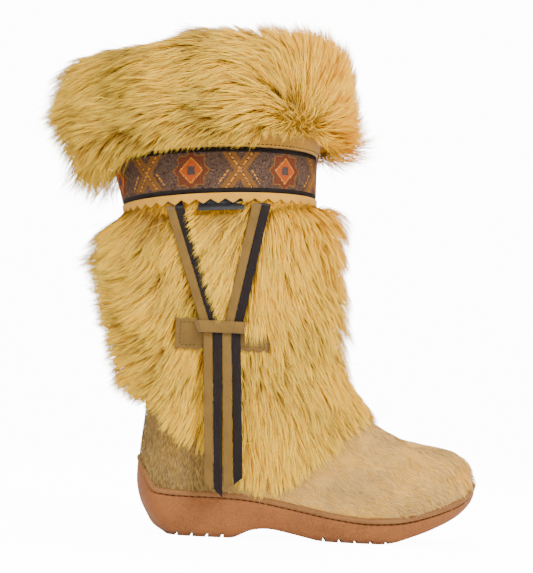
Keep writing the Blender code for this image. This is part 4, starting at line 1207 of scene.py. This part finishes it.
class BootShortHair(bpy.types.Operator):
    """Short hair of the foot's hide"""

    bl_idname = "boot.short_hair"
    bl_label = "Short hair"

    def execute(self, context):
        chance = np.random.default_rng(11)
        s, c = sizes(), colours()
        surface = last_point
        place, angle = scatter(surface, (0.001, 0.60), (0, 2 * math.pi), s.foot_hairs * 2, chance)
        root = surface(place, angle)
        normal = surface_normal(surface, place, angle)
        x, z = root[:, 0], root[:, 2]
        rim = side_height("rim", length_share(x))
        keep = (z > rim + 0.0012) & (z < fringe_height(x) + 0.014) & (normal[:, 2] > -0.6)
        keep = np.flatnonzero(keep)[:s.foot_hairs]
        root, normal = root[keep], normal[keep]
        x, z = root[:, 0], root[:, 2]
        heel = ease(0.06, -0.02, x)
        flow = unit(np.stack([0.75 - 0.8 * heel, np.sign(root[:, 1]) * 0.35 * (1 - heel),
                              -0.45 - 0.6 * heel], axis=-1))
        swirl = np.stack([wave(root, 0.018, 21), wave(root, 0.018, 22), wave(root, 0.018, 23)], axis=-1)
        flow = unit(flow + (0.35 - 0.30 * heel)[:, None] * swirl)
        length = s.short_hair * chance.uniform(0.7, 1.25, len(root))
        # The last term darkens the hair towards the heel: painted shade on the heel, which is turned from
        # the light.
        tone = (0.55 + 0.22 * wave(root, 0.045, 24) + 0.16 * chance.normal(size=len(root))
                - 0.95 * ease(0.04, 0.0, x))
        lift = (0.0009 * heel - 0.0003)[:, None]
        fur = Fur(root + normal * lift, normal, flow, length * (0.11 + 0.07 * heel), length, tone)
        # The darkest stop serves random dark hairs and deepens the heel's painted shade.
        stops = [(0.0, shade(c.khaki, 0.32)), (0.3, shade(c.khaki, 0.82)), (0.6, shade(c.khaki, 1.08)),
                 (1.0, shade(c.straw, 1.05))]
        # Roots at 0.45 and tips at 1.75 of the khaki: darker roots and pale tips, with painted shade low
        # in the fur and a painted highlight at the tips.
        look = hair_material("short_hair", stops, shade(c.khaki, 0.45), shade(c.khaki, 1.75),
                             0.40, 0.5, 0.55)
        grow("foot_hair", fur, 3, s.hair_width * 0.86, FOOT_LOCKS, look, 31)
        return {"FINISHED"}


class BootShaftFur(bpy.types.Operator):
    """Long fur of the shaft: a dense undercoat and hanging locks"""

    bl_idname = "boot.shaft_fur"
    bl_label = "Shaft fur"

    core = 0.42

    def execute(self, context):
        self.make_undercoat()
        straps = Straps()
        self.make_hair("shaft_hair_lateral", (0.0, math.pi), straps, 41)
        self.make_hair("shaft_hair_medial", (math.pi, 2 * math.pi), straps, 47)
        return {"FINISHED"}

    def surface(self, station, angle):
        return shaft_point(station, angle, self.core)

    def make_undercoat(self):
        stations = np.linspace(0.168, 0.785, 90)
        angles = np.linspace(0, 2 * math.pi, 110, endpoint=False)
        grid = np.meshgrid(stations, angles, indexing="ij")
        full, bare = shaft_point(*grid, self.core), shaft_point(*grid, 0.0)
        above = full[..., 2] - fringe_height(full[..., 0]) - 0.010
        share = ease(0.0, FRINGE_TAPER, above)[..., None]
        outer = bare + (full - bare) * share
        outer += surface_normal(self.surface, *grid) * 0.0005
        data = skin(outer)
        drop_faces(data, lambda x: fringe_height(x) + 0.008)
        piece = finish_mesh("shaft_undercoat", data, [undercoat_look()])
        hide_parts("shaft_fur")

    def clear_thongs(self, root, straps, chance):
        """Hair between the thongs laps the dark one behind it; hair ahead laps the patch."""
        x, z = root[:, 0], root[:, 2]
        lateral = root[:, 1] < 0
        bare = lateral & np.isnan(straps.look(root)[0])
        behind, ahead = thong_line(1, z) + THONG_WIDTH / 2, thong_line(3, z) + THONG_WIDTH / 2
        within = bare & (x > behind) & (x < ahead) & (z > KEEPER_HIGH_Z)
        lap = chance.uniform(-0.004, 0.0025, len(x))[:, None]
        roll = chance.random(len(x))
        laps = within & (x > behind + 0.007) & (roll < 0.7)
        over = laps | (bare & (x >= ahead) & (roll < 0.5))

        def allowed(points):
            edge = thong_line(1, points[..., 2]) + THONG_WIDTH / 2 - lap
            inside = (points[..., 0] > edge) & (points[..., 2] > KEEPER_HIGH_Z - 0.5 * lap)
            inside &= points[..., 0] < thong_line(2, points[..., 2]) - THONG_WIDTH / 2
            inside &= (points[..., 2] < LABEL_LOW_Z) | (points[..., 0] > LABEL_FRONT_X)
            clear = points[..., 0] > thong_line(3, points[..., 2]) + THONG_WIDTH / 2 - 0.5 * lap
            clear &= (points[..., 0] > PATCH_FRONT_X) | (points[..., 2] > PATCH_BARE_Z - 1.5 * lap)
            return np.where(within[:, None], inside, clear | ~over[:, None])

        over &= allowed(root[:, None])[:, 0]
        return over, allowed

    def make_hair(self, name, side, straps, seed):
        chance = np.random.default_rng(seed)
        s = sizes()
        place, angle = scatter(self.surface, (0.168, 0.784), side, int(s.shaft_hairs * 1.9), chance)
        root = self.surface(place, angle)
        above = root[:, 2] - fringe_height(root[:, 0])
        ragged = 0.006 + 0.009 * wave(root, 0.012, seed + 1)
        keep = np.flatnonzero(above > ragged)[:s.shaft_hairs]
        place, angle, root, above = place[keep], angle[keep], root[keep], above[keep]
        near_edge = ease(0.0, FRINGE_TAPER, above)
        bare = shaft_point(place, angle, 0.0)
        normal = surface_normal(self.surface, place, angle)
        depth = np.linalg.norm(shaft_point(place, angle, 1.0) - bare, axis=1)
        root = bare + (root - bare) * near_edge[:, None] + normal * 0.0002
        x, z = root[:, 0], root[:, 2]
        flow = shaft_flow(root)
        tier = wave(root * np.array([0.6, 0.6, 1.0]), 0.030, 3)
        length = s.long_hair * (0.88 + 0.20 * tier) * chance.uniform(0.72, 1.12, len(root))
        length *= 0.50 + 0.50 * near_edge
        length *= 1 - 0.16 * ease(0.185, 0.160, z) * ease(-0.005, -0.035, x)
        length *= 1 - 0.22 * ease(0.125, 0.100, z) * ease(0.06, 0.085, x)
        length *= 1 + 0.35 * (1 - near_edge) * ease(0.0, -0.03, x)
        rise = (1 - self.core) * depth * (0.95 + 0.25 * tier) * chance.uniform(0.75, 1.15, len(root))
        rise = rise * (0.35 + 0.65 * near_edge) * (1 + 0.22 * ease(0.06, 0.08, x))
        low_front = ease(0.16, 0.11, z) * ease(0.04, 0.09, x)
        tone = (0.46 + 0.16 * wave(root, 0.050, 13) + 0.14 * wave(root, 0.010, 15)
                + 0.20 * chance.normal(size=len(root))
                + 0.22 * ease(0.02, 0.08, x) * ease(0.17, 0.22, z) + 0.12 * low_front
                - 0.10 * ease(0.0, -0.06, x))
        fur = Fur(root, normal, stray(flow, chance), rise, length, tone)
        over, allowed = self.clear_thongs(root, straps, chance)
        grow(name, fur, 4, s.hair_width, SHAFT_LOCKS, long_hair_look(),
             seed + 2, allowed, straps, over)


def show_edge(points):
    """The band, and the cuff's turned edge below the parting, show on the lateral side."""
    x, y, z = points[..., 0], points[..., 1], points[..., 2]
    edge = EDGE_SHOWS_Z + 0.0025 * np.sin(x * 900)
    band = np.interp(x, BAND_SHOWS_X, BAND_SHOWS_Z)
    band += 0.0022 * np.sin(x * 1500) + 0.0016 * np.sin(x * 3700)
    low = np.where(x > BARE_EDGE[0], edge, band)
    return (y > 0) | (x < BAND_SHOWS_X[0]) | (x > BARE_EDGE[1]) | (z > low)


class BootCuffFur(bpy.types.Operator):
    """Folded fur cuff: its suede edge, undercoat and locks"""

    bl_idname = "boot.cuff_fur"
    bl_label = "Cuff fur"

    def execute(self, context):
        self.make_undercoat()
        self.make_suede_edge()
        self.make_hair("cuff_hair_lateral", (0.0, math.pi), 61)
        self.make_hair("cuff_hair_medial", (math.pi, 2 * math.pi), 67)
        return {"FINISHED"}

    def surface(self, place, angle):
        return self.slump(cuff_point(CUFF_CORE, place, angle))

    def outside(self, place, angle):
        return self.slump(cuff_point(CUFF_OUTSIDE, place, angle))

    def slump(self, points):
        """The roll sinks towards the back."""
        drop = CUFF_SLUMP * ease(0.0, -0.07, points[..., 0]) * ease(0.345, 0.390, points[..., 2])
        return points - np.stack([0 * drop, 0 * drop, drop], axis=-1)

    def make_undercoat(self):
        places = np.linspace(0, 1, 60)
        angles = np.linspace(0, 2 * math.pi, 110, endpoint=False)
        rows = self.surface(*np.meshgrid(places, angles, indexing="ij"))
        data = skin(rows)
        piece = finish_mesh("cuff_undercoat", data, [undercoat_look()])
        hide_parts("cuff_fur")

    def make_suede_edge(self):
        """Turned edge of the cuff's hide, just above the band."""
        angles = np.linspace(0, 2 * math.pi, 120, endpoint=False)
        rows = []
        for station, depth in ((0.851, 0.0008), (0.8515, 0.0030), (0.857, 0.0042), (0.868, 0.0052),
                               (0.884, 0.0060), (0.900, 0.0060)):
            rows.append(ring_point(station, angles, depth))
        data = skin(rows)
        suede = napped("cuff_suede", shade(colours().pinked, 0.75), 0.85, 1100.0, 90.0, 0.6, 1.2,
                       0.0004, 0.2)
        finish_mesh("cuff_edge", data, [suede])
        line = last_point(np.full_like(angles, 0.8535), angles, 0.0039, 0.0038, 0.0038)
        out = line - line.mean(axis=0)
        out[:, 2] = 0
        sew("cuff_stitches", line, unit(out), CUFF_STITCH,
            thread("dark_thread", shade(colours().dark, 0.9)))

    def make_hair(self, name, side, seed):
        chance = np.random.default_rng(seed)
        s = sizes()
        place, angle = scatter(self.surface, (0.06, 0.97), side, int(s.cuff_hairs * 1.25), chance)
        root = self.surface(place, angle)
        low, high = BARE_EDGE
        bare = (place < 0.13) & (root[:, 0] > low) & (root[:, 0] < high) & (root[:, 1] < 0)
        keep = np.flatnonzero(~bare)[:s.cuff_hairs]
        place, angle, root = place[keep], angle[keep], root[keep]
        x, z = root[:, 0], root[:, 2]
        normal = surface_normal(self.surface, place, angle)
        depth = np.linalg.norm(self.outside(place, angle) - root, axis=1)
        flow = cuff_flow(root)
        inner = ease(0.74, 0.86, place)
        top = ease(0.50, 0.66, place)
        fold, tucked = top[:, None], inner[:, None]
        up = np.array([0.0, 0.0, 1.0]) * (0.10 + 0.80 * ease(-0.04, 0.05, x))[:, None]
        flow = unit(flow * (1 - 0.35 * fold) + up * fold * (1 - tucked))
        flow = unit(flow * (1 - tucked) + np.array([0.0, 0.0, -1.0]) * tucked)
        bottom = ease(0.22, 0.10, place)
        hang = 0.9 + 0.9 * ease(*BACK_TUFT, x) - 0.6 * ease(0.080, 0.100, x)
        flow = unit(flow + np.array([0.0, 0.0, -1.0]) * hang[:, None] * bottom[:, None])
        tuft = wave(root, 0.026, 17)
        length = s.cuff_hair * (0.92 + 0.16 * tuft) * chance.uniform(0.7, 1.15, len(root))
        length *= 1 - 0.62 * inner - 0.46 * top * (1 - inner)
        length *= 1 - 0.30 * bottom * ease(-0.02, 0.04, x)
        length *= 1 + 0.50 * bottom * ease(*BACK_TUFT, x)
        length *= 1 + 0.95 * bottom * ease(*FRONT_TUFT, x)
        length *= 1 - 0.28 * ease(0.075, 0.11, x) * (1 - bottom)
        rise = depth * (0.98 + 0.25 * tuft) * chance.uniform(0.7, 1.2, len(root))
        rise *= 1 - (0.45 + 0.45 * ease(0.02, -0.05, x)) * top * (1 - inner)
        gap = np.hypot(x - PARTING[0], z - PARTING[1])
        parting = np.exp(-(gap / PARTING_SPREAD) ** 2)
        # Near the parting, locks are darkened at random: painted shade in the parting's gap.
        tone = (0.34 + 0.16 * wave(root, 0.060, 14) + 0.14 * wave(root, 0.010, 16)
                + 0.20 * chance.normal(size=len(root))
                + 0.55 * ease(0.02, 0.085, x) - 0.10 * ease(0.0, -0.05, x)
                - 0.75 * parting * chance.random(len(root)))
        flow = unit(flow + 0.9 * parting[:, None] * chance.normal(size=flow.shape))
        length *= 1 - 0.35 * parting
        fur = Fur(root, normal, stray(flow, chance), rise, length, tone)
        grow(name, fur, 4, s.hair_width, CUFF_LOCKS, long_hair_look(),
             seed + 2, show_edge)


class BootBand(bpy.types.Operator):
    """Woven band with its crosses and stars, one cell for each thread"""

    bl_idname = "boot.band"
    bl_label = "Woven band"

    repeat = 0.0765
    first_cross_x = 0.0212

    def execute(self, context):
        pitch = sizes().weave_pitch
        angles = self.even_angles(pitch)
        stations = np.linspace(BAND_LOW, BAND_HIGH, 39)
        turn, station = np.meshgrid(angles, stations)
        flat = np.minimum(station - BAND_LOW, BAND_HIGH - station) / 0.0055
        depth = 0.0018 + 0.0010 * ease(0, 1, flat)
        checker = np.indices(turn.shape).sum(axis=0) % 2
        edge = ease(0.9, 1.1, flat)
        depth = depth + checker * (0.00022 * edge + 0.00034 * (1 - edge))
        low, high = ring_point(BAND_LOW, angles, GAP), ring_point(BAND_HIGH, angles, GAP)
        rows = np.concatenate([low[None], ring_point(station, turn, depth), high[None]])
        data = skin(rows)
        piece = finish_mesh("band_weave", data, [self.look()])
        self.paint(piece)
        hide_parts("woven_band")
        return {"FINISHED"}

    def ring_travel(self):
        angles = np.linspace(0, 2 * math.pi, 2001)
        points = ring_point((BAND_LOW + BAND_HIGH) / 2, angles, WEAVE_DEPTH)
        travel = np.concatenate([[0], np.cumsum(np.linalg.norm(np.diff(points, axis=0), axis=1))])
        return angles, points, travel

    def even_angles(self, pitch):
        angles, _, travel = self.ring_travel()
        count = int(travel[-1] / pitch) // 2 * 2
        return np.interp(np.arange(count) * travel[-1] / count, travel, angles)

    def paint(self, piece):
        mesh = piece.data
        angles, points, travel = self.ring_travel()
        side = points[:, 1] < 0
        start = np.interp(-self.first_cross_x, -points[side][:, 0], travel[side])
        centres = np.zeros(len(mesh.polygons) * 3)
        mesh.polygons.foreach_get("center", centres)
        centres = centres.reshape(-1, 3)
        tree = KDTree(len(points) - 1)
        for number, point in enumerate(points[:-1]):
            tree.insert((point[0], point[1], 0), number)
        tree.balance()
        near = np.array([tree.find((p[0], p[1], 0))[1] for p in centres])
        run = -(travel[near] - start)
        low, high = (ring_point(edge, angles[near], WEAVE_DEPTH) for edge in (BAND_LOW, BAND_HIGH))
        share = (centres[:, 2] - low[:, 2]) / (high[:, 2] - low[:, 2])
        colour = self.motif(run, share)
        per_corner = np.repeat(colour, [p.loop_total for p in mesh.polygons], axis=0)
        layer = mesh.color_attributes.new("weave", "FLOAT_COLOR", "CORNER")
        layer.data.foreach_set("color", per_corner.astype(np.float32).ravel())

    def motif(self, run, share):
        """Colour of each cell from its run along the band and its share of the height."""
        chance = np.random.default_rng(71)
        palette = {name: np.array(tint(*value)) for name, value in BAND_THREADS.items()}
        place = chance.random(len(run))[:, None]
        colour = palette["ground"] * (0.8 + 0.4 * place)
        colour = np.where(place < 0.14, palette["shadow"], colour)
        colour = np.where(place > 0.90, palette["light"], colour)
        y = (share - 0.5) * 0.030
        half = self.repeat / 2
        cross_x = (run + half) % self.repeat - half
        star_x = (run + self.repeat) % self.repeat - half

        def put(mask, name, mottle=0.16):
            nonlocal colour
            tone = palette[name] * (1 - mottle + 2 * mottle * chance.random(len(run))[:, None])
            colour = np.where(mask[:, None], tone, colour)

        rise = math.atan2(CROSS_RISE, CROSS_RUN)
        across = np.minimum(np.abs(cross_x * math.sin(rise) - y * math.cos(rise)),
                            np.abs(cross_x * math.sin(rise) + y * math.cos(rise)))
        reached = np.abs(y) < MOTIF_REACH
        inside = reached & (np.abs(cross_x) < CROSS_REACH)
        put(inside & (across < CROSS_BAR[1]) & (across > CROSS_BAR[0]), "ochre")
        dash = (np.round(y / 0.00075) % 3) != 0
        put(inside & (across < 0.00055) & dash, "yellow", 0.08)
        outer = np.abs(across - 0.0068) < 0.00045
        put(inside & outer & (y < -0.0005) & dash & (np.abs(cross_x) > 0.006), "yellow", 0.08)
        square = np.maximum(np.abs(star_x), np.abs(y) * 1.06)
        spike = np.abs(star_x) * 0.92 + np.abs(y)
        star = np.minimum(square / STAR_SQUARE, spike / STAR_SPIKE)
        put((star < 1.0) & reached, "rust")
        put((np.abs(star - 0.97) < 0.045) & reached, "ochre")
        diamond = np.abs(star_x) + np.abs(y) * 1.05
        put(diamond < DIAMOND, "orange", 0.1)
        put(np.abs(diamond - DIAMOND_RIM) < 0.0005, "yellow", 0.2)
        put((np.abs(star_x) < STAR_HEART) & (np.abs(y) < STAR_HEART), "grey")
        put((share < BAND_EDGE_SHARE) | (share > 1 - BAND_EDGE_SHARE), "edge", 0.3)
        colour[:, 3] = 1.0
        return colour

    def look(self):
        material, nodes, shader = new_material("band_thread", 0.7, 0.15)
        paint = nodes.add("ShaderNodeVertexColor", layer_name="weave")
        place = object_place(nodes)
        fuzz = nodes.noise(place, 2600.0, 2.0)
        tone = nodes.ramp(fuzz, [(0.3, (0.72, 0.72, 0.72, 1)), (0.7, (1, 1, 1, 1))])
        nodes.join(nodes.mix(1.0, paint.outputs["Color"], tone, "MULTIPLY"), shader.inputs["Base Color"])
        bump(nodes, shader, fuzz, 0.00015)
        return material


@shared
def tan_suede_look():
    return napped("tan_suede", colours().tan, 0.86, 1300.0, 70.0, 0.70, 1.18, 0.00025, 0.15)


def strip_look():
    return napped("strip_suede", colours().pinked, 0.86, 1300.0, 70.0, 0.75, 1.15, 0.00025, 0.1)


@shared
def dark_suede_look():
    return napped("dark_suede", colours().dark, 0.8, 1300.0, 90.0, 0.6, 1.35, 0.0002, 0.1)


class BootStrip(bpy.types.Operator):
    """Pinked leather strip below the band"""

    bl_idname = "boot.strip"
    bl_label = "Pinked strip"

    def execute(self, context):
        steps = STRIP_TEETH * 4
        angles = np.linspace(0, 2 * math.pi, steps, endpoint=False)
        top, low = BAND_LOW - 0.0005, STRIP_LOW
        wave_share = np.abs((np.arange(steps) % 4) - 2) / 2
        valley = low + (top - low) * STRIP_TOOTH_SHARE
        bottom = low + (valley - low) * wave_share
        rows = []
        for share in (0.0, 0.12, 0.45, 1.0):
            station = bottom + (top - bottom) * share
            rows.append(ring_point(station, angles, STRIP_LIFT))
        data = skin(rows)
        piece = finish_mesh("pinked_edge", data, [strip_look()])
        wall = piece.modifiers.new("wall", "SOLIDIFY")
        wall.thickness = STRIP_THICKNESS
        wall.offset = 1
        soften(piece, 0.00025)
        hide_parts("pinked_strip")
        return {"FINISHED"}


def soften(piece, width, angle=35):
    edge = piece.modifiers.new("edge", "BEVEL")
    edge.width = width
    edge.segments = 2
    edge.limit_method = "ANGLE"
    edge.angle_limit = math.radians(angle)
    bake_modifiers(piece)
    piece.data.shade_smooth()
    piece.data.set_sharp_from_angle(angle=math.radians(50))


def softened_node(node, name, look, width=0.00025):
    """Copy of a flat CAD strap with its edges rounded, in the strap's place."""
    data = bmesh.new()
    data.from_mesh(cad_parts[node].data)
    bmesh.ops.remove_doubles(data, verts=data.verts, dist=1e-6)
    bmesh.ops.dissolve_limit(data, angle_limit=math.radians(0.5), verts=data.verts, edges=data.edges)
    piece = finish_mesh(name, data, [look])
    soften(piece, width)
    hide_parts(node)
    return piece


class BootLabel(bpy.types.Operator):
    """Bare woven label below the band"""

    bl_idname = "boot.label"
    bl_label = "Label"

    def execute(self, context):
        c = colours()
        material, nodes, shader = new_material("label_weave", 0.55, 0.4)
        place = object_place(nodes)
        ribs = nodes.add("ShaderNodeTexWave", wave_type="BANDS", bands_direction="DIAGONAL")
        nodes.join(place, ribs.inputs["Vector"])
        ribs.inputs["Scale"].default_value = 520.0
        ribs.inputs["Distortion"].default_value = 1.0
        tone = nodes.ramp(ribs.outputs["Fac"], [(0.2, shade(c.slate, 0.6)), (0.8, shade(c.slate, 1.4))])
        nodes.join(tone, shader.inputs["Base Color"])
        bump(nodes, shader, ribs.outputs["Fac"], 0.0001)
        softened_node("label_tab", "bare_label", material, 0.0002)
        return {"FINISHED"}


class BootThongs(bpy.types.Operator):
    """Four flat thongs that run down from the band and hang below the keeper"""

    bl_idname = "boot.thongs"
    bl_label = "Thongs"

    def execute(self, context):
        for row in THONGS:
            look = tan_suede_look() if row.colour == "tan" else dark_suede_look()
            softened_node(row.name, row.name.replace("thong", "lace"), look)
        return {"FINISHED"}


class BootKeeper(bpy.types.Operator):
    """Keeper strap and its pinked, stitched patch"""

    bl_idname = "boot.keeper"
    bl_label = "Keeper"

    def execute(self, context):
        softened_node("keeper_strap", "keeper_loop", tan_suede_look())
        patch = softened_node("keeper_patch", "pinked_patch", tan_suede_look())
        self.stitch(patch)
        return {"FINISHED"}

    def stitch(self, patch):
        tree = traced(patch.data)
        low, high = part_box("keeper_patch")
        inset = PATCH_STITCH_INSET
        corners = [(low[0] + inset, low[2] + inset), (high[0] - inset, low[2] + inset),
                   (high[0] - inset, high[2] - inset), (low[0] + inset, high[2] - inset)]
        line = []
        for (x0, z0), (x1, z1) in zip(corners, corners[1:] + corners[:1]):
            for step in range(24):
                x, z = x0 + (x1 - x0) * step / 24, z0 + (z1 - z0) * step / 24
                hit = tree.ray_cast(Vector((x, BEYOND_BOOT_Y, z)), Vector((0, 1, 0)))[0]
                if hit is not None:
                    line.append(tuple(hit))
        line = np.array(line)
        out = np.broadcast_to(np.array([0.0, -1.0, 0.0]), line.shape)
        sew("patch_stitches", line, out, PATCH_STITCH,
            thread("patch_thread", shade(colours().tan, 0.32)))


PARTS = (BootStage, BootShell, BootSole, BootInsole, BootShortHair, BootShaftFur, BootCuffFur,
         BootBand, BootStrip, BootLabel, BootThongs, BootKeeper)


class BootPanel(bpy.types.Panel):
    """Buttons that dress the boot"""

    bl_idname = "VIEW3D_PT_boot"
    bl_label = "Fur boot"
    bl_space_type = "VIEW_3D"
    bl_region_type = "UI"
    bl_category = "Boot"

    def draw(self, context):
        layout = self.layout
        for part in PARTS:
            layout.operator(part.bl_idname)
        for group in (context.scene.boot_sizes, context.scene.boot_colours):
            box = layout.box()
            for name in group.bl_rna.properties.keys():
                if name not in {"rna_type", "name"}:
                    box.prop(group, name)


def register():
    for kind in (BootSizes, BootColours, *PARTS, BootPanel):
        bpy.utils.register_class(kind)
    bpy.types.Scene.boot_sizes = bpy.props.PointerProperty(type=BootSizes)
    bpy.types.Scene.boot_colours = bpy.props.PointerProperty(type=BootColours)


def unregister():
    del bpy.types.Scene.boot_sizes
    del bpy.types.Scene.boot_colours
    for kind in reversed((BootSizes, BootColours, *PARTS, BootPanel)):
        bpy.utils.unregister_class(kind)


def main():
    register()
    bpy.ops.boot.stage()
    bpy.ops.boot.shell()
    bpy.ops.boot.sole()
    bpy.ops.boot.insole()
    bpy.ops.boot.short_hair()
    bpy.ops.boot.shaft_fur()
    bpy.ops.boot.cuff_fur()
    bpy.ops.boot.band()
    bpy.ops.boot.strip()
    bpy.ops.boot.label()
    bpy.ops.boot.thongs()
    bpy.ops.boot.keeper()


if __name__ == "__main__":
    main()
